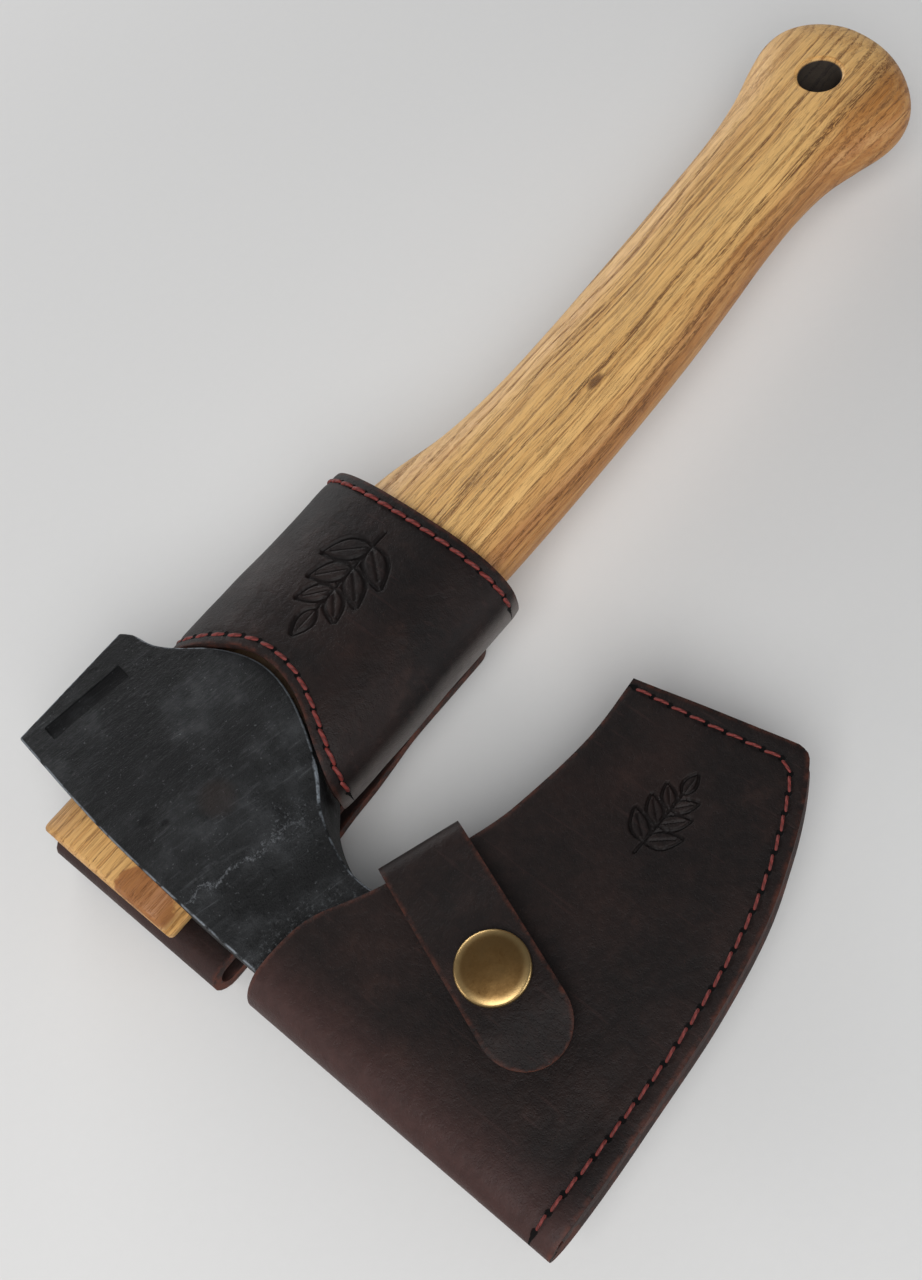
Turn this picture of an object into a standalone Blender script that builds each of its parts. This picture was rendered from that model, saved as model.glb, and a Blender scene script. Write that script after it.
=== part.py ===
"""Compact bearded carving hatchet with a snapped blade sheath and a belt holster.

Sizes are millimetres in the datum frame: X runs along the handle from the head to the butt, Y runs from
the bit to the poll, Z runs through the broad side. The datum sits on the handle's axis at the head's top
edge, half way through the head. finish() turns millimetres into metres and moves every piece so that the
origin lies under the middle of the whole object.
"""

import math

import bmesh
import bpy
from mathutils import Matrix, Vector

MM = 0.001
GAP = 0.3                    # between pieces that touch

# Head
POLL_Y = 33.5
POLL_TOP_X = 9.8
POLL_FOOT_X = 41.0
CHEEK_HALF = 12.5            # half the head's thickness over the eye
TOE = (3.2, -112.4)
HEEL_X = 91.8
HEEL_BIT_Y = -98.6
HEEL_BEARD_Y = -70.0
EDGE_HALF = 0.25             # half the thickness left at the cutting edge

# Eye, tenon and handle
EYE_HALF_Y = 19.3
EYE_HALF_Z = 8.8
TENON_POWER = 3.2            # how boxy the eye and the tenon are
TENON_FOOT_X = 54.5
TENON_END_X = -1.0
BUTT_X = 277.8
KNOB_HALF_Z = 11.8
HANG_HOLE = (255.0, -2.8)
HANG_HOLE_R = 5.3
KERF_DEPTH = 32.0
RING_R = 5.0
RING_WALL = 1.2
RING_DEPTH = 8.0

# Blade sheath
LEATHER = 2.3
FOLD_X = -0.8
SHEATH_TOE_Y = -120.7
SEAM_INSET = 4.0
WELT_WIDTH = 7.0
WELT_HALF = 1.2
THREAD_R = 0.4

# Closure strap and snap
STRAP_FOLD = (43.5, -53.2)
STRAP_TURN = math.radians(20.2)     # the strap's lean from straight across the blade
STRAP_HALF_WIDTH = 9.3
STRAP_THICK = 2.2
STRAP_TAIL = 24.0
STRAP_REACH = 50.6
SNAP_REACH = 30.4
SNAP_STACK = 3.2             # strap above the sheath at the snap
SNAP_CAP_R = 7.5
HINGE_REACH = 3.5
HINGE_Z = -8.5

# Belt holster
SLEEVE_MID_Y = -2.0
SLEEVE_HALF_Y = 27.4
SLEEVE_HALF_Z = 14.4
SLEEVE_WALL = 2.2
SLEEVE_POWER = 2.6           # how square the wrapped oval is
SLEEVE_TOP_X = 101.6
PANEL_LOW_Y = -27.0
PANEL_HIGH_Y = 25.0
PANEL_TAPER = 4.0            # by which the panel narrows behind the sleeve
LOOP_NOSE_X = -2.7
LOOP_GAP = 5.2
LEAF_FRONT_Z = -12.8         # front face of the panel behind the head

LOOP_BACK_Z = LEAF_FRONT_Z - LEATHER - LOOP_GAP - LEATHER
PLACE = Vector((-(LOOP_NOSE_X + BUTT_X) / 2, -(SHEATH_TOE_Y + POLL_Y) / 2, -LOOP_BACK_Z))


def blend(table, value):
    """Straight-line reading of a table of (position, size) pairs that runs upwards."""
    if value <= table[0][0]:
        return table[0][1]
    for (a, low), (b, high) in zip(table, table[1:]):
        if value <= b:
            return low + (high - low) * (value - a) / (b - a)
    return table[-1][1]


def oval(count, power=2.0):
    """Points round a unit oval, round at power 2 and boxier above it."""
    points = []
    for i in range(count):
        a = 2 * math.pi * i / count
        c, s = math.cos(a), math.sin(a)
        points.append((math.copysign(abs(c) ** (2 / power), c), math.copysign(abs(s) ** (2 / power), s)))
    return points


def smooth(points, per_span):
    """Catmull-Rom curve through the points, as a list of vectors."""
    knots = [Vector(p) for p in points]
    knots = [2 * knots[0] - knots[1]] + knots + [2 * knots[-1] - knots[-2]]
    curve = []
    for a, b, c, d in zip(knots, knots[1:], knots[2:], knots[3:]):
        for i in range(per_span):
            t = i / per_span
            curve.append(0.5 * (2 * b + (c - a) * t + (2 * a - 5 * b + 4 * c - d) * t ** 2
                                + (3 * b - a - 3 * c + d) * t ** 3))
    return curve + [knots[-2]]


# ---------------------------------------------------------------- scene and mesh helpers

def clear_scene():
    for item in list(bpy.data.objects):
        bpy.data.objects.remove(item, do_unlink=True)


def make_material(name, colour, roughness, metallic=0.0):
    material = bpy.data.materials.new(name)
    material.use_nodes = True
    shader = material.node_tree.nodes["Principled BSDF"]
    shader.inputs["Base Color"].default_value = (*colour, 1.0)
    shader.inputs["Roughness"].default_value = roughness
    shader.inputs["Metallic"].default_value = metallic
    material.diffuse_color = (*colour, 1.0)
    return material


def make_carrier(name, point=(0.0, 0.0, 0.0), parent=None):
    """Empty on a joint's axis, given in datum millimetres, that carries the pieces of one body."""
    empty = bpy.data.objects.new(name, None)
    bpy.context.collection.objects.link(empty)
    empty["datum"] = list(point)
    start = Vector(parent["datum"]) if parent else -PLACE
    empty.parent = parent
    empty.location = (Vector(point) - start) * MM
    return empty


def finish(bm, name, material, carrier, smooth_angle=35.0):
    """Turn a millimetre bmesh into an object on its carrier."""
    bmesh.ops.recalc_face_normals(bm, faces=bm.faces[:])
    bmesh.ops.transform(bm, matrix=Matrix.Scale(MM, 4) @ Matrix.Translation(-Vector(carrier["datum"])),
                        verts=bm.verts[:])
    mesh = bpy.data.meshes.new(name)
    bm.to_mesh(mesh)
    bm.free()
    mesh.shade_smooth()
    mesh.set_sharp_from_angle(angle=math.radians(smooth_angle))
    item = bpy.data.objects.new(name, mesh)
    bpy.context.collection.objects.link(item)
    item.data.materials.append(material)
    item.parent = carrier
    return item


def cut(item, bm, operation="DIFFERENCE"):
    """Cut a piece with, or to, a millimetre bmesh that stays in the scene as a hidden cutter."""
    cutter = finish(bm, f"{item.name}_cutter_{len(item.modifiers)}", item.data.materials[0], item.parent)
    cutter.hide_render = True
    cutter.display_type = "WIRE"
    modifier = item.modifiers.new("Cut", "BOOLEAN")
    modifier.operation = operation
    modifier.solver = "EXACT"
    modifier.object = cutter


def prism(outline, low, high):
    """Solid with a flat outline in XY, from low to high along Z."""
    bm = bmesh.new()
    face = bm.faces.new([bm.verts.new((x, y, low)) for x, y in outline])
    made = bmesh.ops.extrude_face_region(bm, geom=[face])["geom"]
    raised = [v for v in made if isinstance(v, bmesh.types.BMVert)]
    bmesh.ops.translate(bm, verts=raised, vec=(0, 0, high - low))
    return bm


def slab(x_lines, y_lines, half):
    """Solid whose two broad faces stand at plus and minus half(x, y)."""
    bm = bmesh.new()
    across, along = len(x_lines) - 1, len(y_lines) - 1
    bmesh.ops.create_grid(bm, x_segments=across, y_segments=along, size=0.5)
    for vert in bm.verts:
        x = x_lines[round((vert.co.x + 0.5) * across)]
        y = y_lines[round((vert.co.y + 0.5) * along)]
        vert.co = (x, y, half(x, y))
    made = bmesh.ops.extrude_face_region(bm, geom=bm.faces[:])["geom"]
    for vert in (v for v in made if isinstance(v, bmesh.types.BMVert)):
        vert.co.z = -vert.co.z
    return bm


def sweep(sections):
    """Solid through a row of sections, each a ring of points, by extruding the first one's face."""
    bm = bmesh.new()
    face = bm.faces.new([bm.verts.new(p) for p in sections[0]])
    for section in sections[1:]:
        made = bmesh.ops.extrude_face_region(bm, geom=[face, *face.edges, *face.verts])["geom"]
        face = next(f for f in made if isinstance(f, bmesh.types.BMFace))
        for vert, point in zip(face.verts, section):
            vert.co = point
    return bm


def turned(profile, segments=28):
    """Solid turned about Z from a closed profile of (radius, height) points."""
    bm = bmesh.new()
    ring = [bm.verts.new((r, 0, z)) for r, z in profile]
    edges = [bm.edges.new(pair) for pair in zip(ring, ring[1:] + ring[:1])]
    bmesh.ops.spin(bm, geom=ring + edges, cent=(0, 0, 0), axis=(0, 0, 1), angle=2 * math.pi,
                   steps=segments, use_merge=True)
    bmesh.ops.remove_doubles(bm, verts=bm.verts[:], dist=0.001)
    loose = [e for e in bm.edges if not e.link_faces]
    bmesh.ops.delete(bm, geom=loose, context="EDGES")
    return bm


def thread(name, points, material, carrier, closed=False):
    """Waxed thread laid along points given in datum millimetres."""
    curve = bpy.data.curves.new(name, "CURVE")
    curve.dimensions = "3D"
    curve.bevel_depth = THREAD_R * MM
    curve.bevel_resolution = 1
    curve.use_fill_caps = not closed
    spline = curve.splines.new("POLY")
    spline.points.add(len(points) - 1)
    spline.use_cyclic_u = closed
    start = Vector(carrier["datum"])
    for knot, point in zip(spline.points, points):
        knot.co = (*((Vector(point) - start) * MM), 1.0)
    curve.materials.append(material)
    item = bpy.data.objects.new(name, curve)
    bpy.context.collection.objects.link(item)
    item.parent = carrier
    return item


# ---------------------------------------------------------------- shapes shared by several pieces

CHEEK = [(-112.4, EDGE_HALF), (-106.0, 0.9), (-95.0, 1.7), (-82.0, 2.5), (-70.0, 3.2), (-60.0, 3.8),
         (-50.0, 4.6), (-43.0, 5.3), (-36.0, 6.6), (-29.0, 8.4), (-22.0, 10.3), (-14.0, 11.9),
         (-6.0, CHEEK_HALF), (8.0, CHEEK_HALF), (POLL_Y, 12.0)]
HEEL_CHEEK = [(HEEL_BIT_Y, EDGE_HALF), (-93.0, 0.6), (-85.0, 0.9), (HEEL_BEARD_Y, 1.1), (-50.0, 1.4)]
POCKET = [(-112.0, 1.5), (-106.0, 2.1), (-95.0, 2.9), (-82.0, 3.65), (-60.0, 4.6), (-43.0, 5.8)]
HEEL_POCKET = [(-112.0, 1.5), (-70.0, 1.6), (-60.0, 1.9)]


def heel_share(x):
    """0 along the blade's spine side, 1 at its heel."""
    return min(1.0, max(0.0, (x - 35.0) / (HEEL_X - 35.0)))


def blade_half(x, y):
    """Half the head's thickness."""
    share = heel_share(x) if y < -44.0 else 0.0
    return blend(CHEEK, y) * (1 - share) + min(blend(CHEEK, y), blend(HEEL_CHEEK, y)) * share


def pocket_half(x, y):
    """Half the space inside the sheath."""
    share = heel_share(x)
    return blend(POCKET, y) * (1 - share) + min(blend(POCKET, y), blend(HEEL_POCKET, y)) * share


def sheath_half(x, y):
    """Half the sheath's outer thickness, round along its fold."""
    fold = min(1.0, max(0.0, (x - FOLD_X) / 6.5))
    return max(0.4, (pocket_half(x, y) + LEATHER) * math.sqrt(1 - (1 - fold) ** 2))


def bit_edge():
    """Cutting edge and heel end, from the toe round to the beard's corner."""
    curve = smooth([TOE, (30.0, -111.8), (52.0, -110.2), (74.0, -106.0), (HEEL_X, HEEL_BIT_Y)], 4)
    return [(p.x, p.y) for p in curve] + [(HEEL_X, HEEL_BEARD_Y)]


def beard_and_lobe():
    """Underside of the head, from the beard's corner through the throat to the poll."""
    beard = smooth([(HEEL_X, HEEL_BEARD_Y), (72.0, -70.2), (54.0, -68.6), (41.0, -63.6), (34.0, -57.0),
                    (31.6, -50.0), (32.2, -41.5), (37.0, -31.6), (44.0, -24.2), (50.8, -13.0),
                    (53.8, -4.0), (53.8, 4.0), (50.8, 12.4), (46.0, 19.6), (43.4, 25.0),
                    (42.6, 30.4), (POLL_FOOT_X, POLL_Y)], 2)
    return [(p.x, p.y) for p in beard][1:]


def sheath_beard_edge():
    """Open edge of the sheath, from the fold along the mouth and the beard to the heel end."""
    curve = smooth([(FOLD_X, -43.4), (10.0, -43.0), (19.5, -44.6), (32.3, -51.3), (53.0, -59.3),
                    (66.0, -62.4), (84.0, -64.1), (99.6, -63.3)], 3)
    return [(p.x, p.y) for p in curve]


def sheath_seam(inset):
    """Sewn edge of the sheath, from the heel end round to the toe, moved in by inset."""
    corner = 3.0
    low = Vector((100.0 - inset, -63.3))
    heel = Vector((106.8 - inset, -101.0 + inset))
    bit = smooth([heel + Vector((-corner, -2.0)), (87.0, -111.4 + inset), (72.0, -115.9 + inset),
                  (52.0, -118.8 + inset), (31.0, -120.0 + inset), (14.0, SHEATH_TOE_Y + inset),
                  (FOLD_X, SHEATH_TOE_Y + inset)], 3)
    return [(low.x, low.y), (heel.x, heel.y + 1.0)] + [(p.x, p.y) for p in bit]


def strap_axes():
    """Directions along the strap and across it."""
    lean = STRAP_TURN
    return Vector((-math.sin(lean), -math.cos(lean), 0)), Vector((math.cos(lean), -math.sin(lean), 0))


def on_strap(reach, across=0.0, z=0.0):
    """Datum point at a distance along the strap from its fold."""
    along, side = strap_axes()
    return Vector((*STRAP_FOLD, z)) + along * reach + side * across


def sheath_level(reach, side=0.0):
    """Sheath's outer half thickness under the strap, side away from its middle line."""
    point = on_strap(reach, side)
    return sheath_half(point.x, point.y)


def strap_seat(reach):
    """Highest level of the sheath across the whole width of the strap."""
    return max(sheath_level(reach, side) for side in (-STRAP_HALF_WIDTH, 0.0, STRAP_HALF_WIDTH))


def sleeve_ring(x, grow, count=36):
    """Section of the sleeve, a squarish oval, with its outer size changed by grow."""
    ring = []
    for i in range(count):
        a = 2 * math.pi * (i + 0.5) / count
        c, s = math.cos(a), math.sin(a)
        y = SLEEVE_MID_Y + (SLEEVE_HALF_Y + grow) * math.copysign(abs(c) ** (2 / SLEEVE_POWER), c)
        z = (SLEEVE_HALF_Z + grow) * math.copysign(abs(s) ** (2 / SLEEVE_POWER), s)
        ring.append((x, y, z))
    return ring


def sleeve_front(y, grow):
    """Height of the sleeve's front surface at y, grown by grow."""
    share = min(1.0, abs(y - SLEEVE_MID_Y) / (SLEEVE_HALF_Y + grow))
    return (SLEEVE_HALF_Z + grow) * (1 - share ** SLEEVE_POWER) ** (1 / SLEEVE_POWER)


def scoop(inset):
    """Head-side edge of the sleeve, which follows the cheek, moved towards the butt by inset."""
    curve = smooth([(44.6, 27.0), (45.8, 22.0), (50.0, 15.2), (54.6, 5.0), (54.6, -5.0), (51.6, -13.6),
                    (46.2, -22.6), (42.6, -29.0), (41.0, -34.0)], 3)
    return [(p.x + inset, p.y) for p in curve]


# ---------------------------------------------------------------- the axe

def make_head(steel, axe):
    columns = [-2, 8, 20, 32, 44, 56, 68, 80, 90, 98]
    rows = [-116, -110, -106, -100, -95, -88, -82, -76, -70, -65, -60, -50, -44.5, -43, -36, -29, -22,
            -14, -6, 8, 22, 36]
    head = finish(slab(columns, rows, blade_half), "axe_head", steel, axe)
    top_edge = [(POLL_TOP_X, POLL_Y), (8.6, 24.0), (6.9, 10.0), (5.8, -2.0), (5.0, -20.0), (4.6, -42.0),
                (4.0, -80.0)]
    outline = top_edge + bit_edge() + beard_and_lobe()
    cut(head, prism(outline, -20, 20), "INTERSECT")
    eye = [(y * EYE_HALF_Y, z * EYE_HALF_Z) for y, z in oval(28, TENON_POWER)]
    cut(head, sweep([[(x, y, z) for y, z in eye] for x in (-10.0, 70.0)]))


def make_handle(ash, axe):
    stations = [
        ((TENON_END_X, 18.4), (TENON_END_X, -18.4), 7.9),
        ((TENON_END_X + 0.8, 19.0), (TENON_END_X + 0.8, -19.0), 8.5),
        ((TENON_FOOT_X, 19.0), (TENON_FOOT_X, -19.0), 8.5),
        ((61.0, 18.6), (61.0, -20.6), 10.4),
        ((80.0, 17.9), (80.0, -22.3), 11.4),
        ((105.0, 16.5), (105.0, -22.9), 11.6),
        ((124.0, 11.9), (124.0, -22.9), 11.4),
        ((141.0, 10.2), (141.0, -22.6), 11.2),
        ((160.0, 10.1), (160.0, -22.1), 11.0),
        ((178.0, 10.6), (177.0, -21.3), 11.0),
        ((196.0, 11.2), (194.0, -19.9), 10.9),
        ((213.0, 12.1), (210.0, -18.4), 10.8),
        ((229.0, 13.1), (224.0, -17.8), 10.9),
        ((243.0, 15.3), (236.0, -18.7), 11.2),
        ((254.0, 18.4), (245.5, -21.4), 11.7),
        ((262.5, 20.1), (253.0, -23.9), KNOB_HALF_Z),
        ((268.6, 19.2), (259.5, -24.3), 11.5),
        ((273.4, 15.6), (265.8, -22.2), 10.2),
        ((276.4, 10.0), (271.4, -17.0), 8.2),
        ((BUTT_X, 2.0), (275.6, -9.0), 4.6),
    ]
    sections = []
    for poll, bit, half_z in stations:
        middle = (Vector(poll) + Vector(bit)) / 2
        side = (Vector(poll) - Vector(bit)) / 2
        power = TENON_POWER if middle.x <= TENON_FOOT_X else 2.25
        sections.append([(middle.x + side.x * c, middle.y + side.y * c, half_z * s)
                         for c, s in oval(28, power)])
    handle = finish(sweep(sections), "handle", ash, axe)
    hole = bmesh.new()
    bmesh.ops.create_cone(hole, segments=24, radius1=HANG_HOLE_R, radius2=HANG_HOLE_R, depth=40,
                          cap_ends=True, matrix=Matrix.Translation((*HANG_HOLE, 0)))
    cut(handle, hole)
    kerf_mouth, kerf_root = 1.75, 0.8
    end = TENON_END_X + KERF_DEPTH
    profile = [(TENON_END_X - 2, kerf_mouth), (end, kerf_root), (end, -kerf_root),
               (TENON_END_X - 2, -kerf_mouth)]
    cut(handle, sweep([[(x, y, z) for x, z in profile] for y in (-24.0, 24.0)]))
    cut(handle, ring_solid(GAP))


def ring_solid(grow):
    """Steel ring driven into the tenon's end, or with grow the groove that it sits in."""
    outer, inner = RING_R + grow, RING_R - RING_WALL - grow
    near = TENON_END_X + 0.4 - (8.0 if grow else 0.0)
    far = TENON_END_X + 0.4 + RING_DEPTH + grow
    bm = turned([(inner, near), (outer, near), (outer, far), (inner, far)], 24)
    bmesh.ops.rotate(bm, verts=bm.verts[:], cent=(0, 0, 0), matrix=Matrix.Rotation(math.pi / 2, 3, "Y"))
    return bm


def make_wedges(wood, steel, axe):
    near, far = TENON_END_X + 0.3, TENON_END_X + KERF_DEPTH - 4
    profile = [(near, 1.38), (far, 0.58), (far, -0.58), (near, -1.38)]
    wedge = finish(sweep([[(x, y, z) for x, z in profile] for y in (-17.0, 17.0)]), "eye_wedge", wood, axe)
    cut(wedge, ring_solid(GAP))
    finish(ring_solid(0.0), "steel_ring_wedge", steel, axe)


# ---------------------------------------------------------------- the blade sheath

def make_sheath(leather, red, sheath):
    columns = [FOLD_X - 0.4, FOLD_X, 0.0, 1.2, 3.2, 5.7, 20, 35, 50, 65, 80, 92, 100, 110]
    rows = [-126, -112, -106, -95, -82, -70, -60, -50, -43, -38]
    shell = finish(slab(columns, rows, sheath_half), "sheath_shell", leather, sheath)
    outline = sheath_beard_edge() + sheath_seam(0.0)
    cut(shell, prism(outline, -20, 20), "INTERSECT")
    inner_columns = [FOLD_X + LEATHER + 0.6, 20, 35, 50, 65, 80, 92, 100, 116]
    inner_rows = [-132, -112, -106, -95, -82, -70, -60, -50, -43, -30]
    cut(shell, slab(inner_columns, inner_rows, pocket_half))
    snap = on_strap(SNAP_REACH)
    hole = bmesh.new()
    bmesh.ops.create_cone(hole, segments=16, radius1=1.9, radius2=1.9, depth=10, cap_ends=True,
                          matrix=Matrix.Translation((snap.x, snap.y, 6.5)))
    cut(shell, hole)

    outer = sheath_seam(0.4)
    inner = sheath_seam(WELT_WIDTH)
    inner[0] = (inner[0][0], outer[0][1])
    inner[-1] = (LEATHER + 2.0, inner[-1][1])
    outer[-1] = (LEATHER + 2.0, outer[-1][1])
    finish(prism(outer + inner[::-1], -WELT_HALF, WELT_HALF), "sheath_welt", leather, sheath)

    seam = sheath_seam(SEAM_INSET)
    seam[0] = (seam[0][0], seam[0][1] - 1.6)
    seam[-1] = (FOLD_X + 2.4, seam[-1][1])
    for side, name in ((1, "sheath_front_thread"), (-1, "sheath_back_thread")):
        path = []
        for a, b in zip(seam, seam[1:]):
            count = max(1, round(math.dist(a, b) / 6))
            for i in range(count):
                path.append((a[0] + (b[0] - a[0]) * i / count, a[1] + (b[1] - a[1]) * i / count))
        path.append(seam[-1])
        lift = GAP + THREAD_R
        thread(name, [(x, y, side * (sheath_half(x, y) + lift)) for x, y in path], red, sheath)


def snap_matrix(level):
    """Places a turned snap piece on the sheath's slope at a height above the sheath."""
    here = on_strap(SNAP_REACH, z=sheath_level(SNAP_REACH))
    ahead = on_strap(SNAP_REACH + 4, z=sheath_level(SNAP_REACH + 4))
    behind = on_strap(SNAP_REACH - 4, z=sheath_level(SNAP_REACH - 4))
    along = (ahead - behind).normalized()
    normal = along.cross(strap_axes()[1])
    if normal.z < 0:
        normal.negate()
    turn = Vector((0, 0, 1)).rotation_difference(normal).to_matrix().to_4x4()
    return Matrix.Translation(here + normal * level) @ turn


def make_snap(brass, sheath, strap):
    def place(bm, level):
        bmesh.ops.transform(bm, matrix=snap_matrix(level), verts=bm.verts[:])
        return bm

    stud = turned([(0, 0.3), (5.4, 0.3), (5.4, 0.75), (3.0, 0.9), (2.7, 1.2), (3.1, 1.6), (2.8, 2.0),
                   (0, 2.0)])
    finish(place(stud, 0.0), "snap_stud", brass, sheath)
    post = turned([(0, -3.2), (4.6, -3.2), (4.6, -2.8), (1.6, -2.8), (1.6, 0.0), (0, 0.0)])
    finish(place(post, 0.0), "snap_post", brass, sheath)
    socket = turned([(3.5, -2.1), (5.4, -2.1), (5.9, -1.6), (5.9, -0.5), (5.4, -0.3), (2.6, -0.3),
                     (2.6, -0.7), (3.5, -0.9)])
    finish(place(socket, SNAP_STACK), "snap_socket", brass, strap)
    top = STRAP_THICK + 0.3
    cap = turned([(0, -0.25), (2.0, -0.25), (2.0, top), (6.6, top), (7.3, top + 0.2), (SNAP_CAP_R, top + 0.7),
                  (7.1, top + 1.4), (5.6, top + 2.0), (3.0, top + 2.4), (0, top + 2.5)], 32)
    finish(place(cap, SNAP_STACK), "snap_cap", brass, strap)


def strap_path():
    """Middle line of the strap as (reach, z), from its tail behind the sheath to its tip in front."""
    half = STRAP_THICK / 2
    under = GAP + 0.2 + half
    tail = [(STRAP_TAIL, -strap_seat(STRAP_TAIL) - under), (12.0, -strap_seat(12.0) - under)]
    edge = strap_seat(4.0) + under
    corner = 3.2
    turn_low = [(corner + corner * math.cos(a) - 0.4, -edge + corner + corner * math.sin(a))
                for a in (math.radians(270 - 22.5 * i) for i in range(5))]
    turn_high = [(x, -z) for x, z in reversed(turn_low)]
    level = sheath_level(SNAP_REACH) + SNAP_STACK + half
    slope = (sheath_level(SNAP_REACH - 8) - sheath_level(SNAP_REACH + 8)) / 16
    front = [(12.0, edge + 0.6), (SNAP_REACH - 9, level + 9 * slope), (SNAP_REACH + 9, level - 9 * slope),
             (SNAP_REACH + 10.5, level - 10.5 * slope - 0.1),
             (STRAP_REACH, strap_seat(STRAP_REACH) + 1.2 + half)]
    return tail + turn_low + turn_high + front


def make_strap(leather, red, strap, sheath):
    path = [Vector(p) for p in strap_path()]
    half = STRAP_THICK / 2
    upper, lower = [], []
    for i, point in enumerate(path):
        ahead = path[min(i + 1, len(path) - 1)] - path[max(i - 1, 0)]
        normal = Vector((-ahead.y, ahead.x)).normalized() * half
        upper.append(point + normal)
        lower.append(point - normal)
    outline = upper + lower[::-1]
    edges = (-STRAP_HALF_WIDTH, STRAP_HALF_WIDTH)
    sides = [[on_strap(p.x, across, p.y) for p in outline] for across in edges]
    bm = sweep(sides)
    tip = path[-1]
    tips = [e for e in bm.edges if all((v.co - on_strap(tip.x, 0, v.co.z)).xy.length < STRAP_HALF_WIDTH + 1
                                       and v.co.z > 0 for v in e.verts)
            and abs((e.verts[0].co - e.verts[1].co).xy.length) < 1.0]
    bmesh.ops.bevel(bm, geom=tips, offset=STRAP_HALF_WIDTH - 0.3, segments=7, affect="EDGES", profile=0.5,
                    material=-1)
    item = finish(bm, "closure_strap", leather, strap)
    hole = bmesh.new()
    bmesh.ops.create_cone(hole, segments=16, radius1=2.4, radius2=2.4, depth=5, cap_ends=True,
                          matrix=snap_matrix(SNAP_STACK + half))
    cut(item, hole)

    under = strap_seat(15.0) + GAP + 0.2 + STRAP_THICK + GAP + THREAD_R
    slope = (strap_seat(9.0) - strap_seat(21.0)) / 12
    inset = STRAP_HALF_WIDTH - 3
    corners = [(9.0, -inset), (21.0, -inset), (21.0, inset), (9.0, inset)]
    path = []
    for (r0, a0), (r1, a1) in zip(corners, corners[1:] + corners[:1]):
        for i in range(3):
            reach = r0 + (r1 - r0) * i / 3
            path.append(on_strap(reach, a0 + (a1 - a0) * i / 3, -under + slope * (reach - 15.0)))
    thread("strap_anchor_thread", path, red, sheath, closed=True)


# ---------------------------------------------------------------- the belt holster

def make_sleeve(leather, red, holster):
    low = 38.0
    outside = sweep([sleeve_ring(low, 0), sleeve_ring(SLEEVE_TOP_X, 0)])
    sleeve = finish(outside, "holster_sleeve", leather, holster)
    inside = sweep([sleeve_ring(low - 5, -SLEEVE_WALL), sleeve_ring(SLEEVE_TOP_X + 5, -SLEEVE_WALL)])
    cut(sleeve, inside)
    outline = [(30.0, 40.0), (44.6, 40.0)] + scoop(0.0) + [(41.0, -45.0), (30.0, -45.0)]
    cut(sleeve, prism(outline, -25, 25))
    cut(sleeve, prism([(30, -45), (66, -45), (66, 45), (30, 45)], -25, -9))
    cut(sleeve, prism([(60, -2.6), (110, -2.6), (110, -1.4), (60, -1.4)], -25, -5))

    lift = GAP + THREAD_R
    count = 22
    reach = SLEEVE_HALF_Y - 1.0
    hem = []
    for i in range(count + 1):
        y = SLEEVE_MID_Y + reach * math.cos(math.pi * i / count)
        hem.append((SLEEVE_TOP_X - 2.8, y, sleeve_front(y, lift)))
    thread("sleeve_hem_thread", hem, red, holster)
    limit = SLEEVE_HALF_Y - 1.0
    rim = [(x, y) for x, y in scoop(2.8) if abs(y - SLEEVE_MID_Y) < limit]
    thread("sleeve_scoop_thread", [(x, y, sleeve_front(y, lift)) for x, y in rim], red, holster)


def panel_path():
    """Middle line of the back panel as (x, z): up behind the head, round the loop and down again."""
    half = LEATHER / 2
    front = LEAF_FRONT_Z - half
    low = -SLEEVE_HALF_Z - GAP - half
    radius = (LOOP_GAP + LEATHER) / 2
    nose = LOOP_NOSE_X + half + radius
    turn = [(nose + radius * math.cos(a), front - radius + radius * math.sin(a))
            for a in (math.radians(90 + 22.5 * i) for i in range(9))]
    back = front - 2 * radius
    leaf = low - LEATHER - GAP
    return ([(SLEEVE_TOP_X - 1, low), (64.0, low), (54.0, front), (20.0, front)] + turn
            + [(20.0, back), (50.0, back), (66.0, leaf), (96.0, leaf)])


def make_panel(leather, red, holster):
    path = [Vector(p) for p in panel_path()]
    half = LEATHER / 2
    upper, lower = [], []
    for i, point in enumerate(path):
        ahead = path[min(i + 1, len(path) - 1)] - path[max(i - 1, 0)]
        normal = Vector((-ahead.y, ahead.x)).normalized() * half
        upper.append(point + normal)
        lower.append(point - normal)
    outline = upper + lower[::-1]
    bm = sweep([[(p.x, y, p.y) for p in outline] for y in (PANEL_LOW_Y, PANEL_HIGH_Y)])
    panel = finish(bm, "holster_back_panel", leather, holster)
    narrow = PANEL_LOW_Y + PANEL_TAPER
    cut(panel, prism([(8, PANEL_LOW_Y), (52, narrow), (110, narrow), (110, -40), (8, -40)], -30, 0))

    level = path[-1].y - half - GAP - THREAD_R
    middle = (PANEL_LOW_Y + PANEL_HIGH_Y) / 2
    reach = (PANEL_HIGH_Y - PANEL_LOW_Y) / 2 - 4 - PANEL_TAPER
    row = []
    corners = [(70.0, -reach), (92.0, -reach), (92.0, reach), (70.0, reach)]
    for (x0, y0), (x1, y1) in zip(corners, corners[1:] + corners[:1]):
        for i in range(4):
            row.append((x0 + (x1 - x0) * i / 4, middle + y0 + (y1 - y0) * i / 4, level))
    thread("belt_loop_thread", row, red, holster, closed=True)


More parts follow.
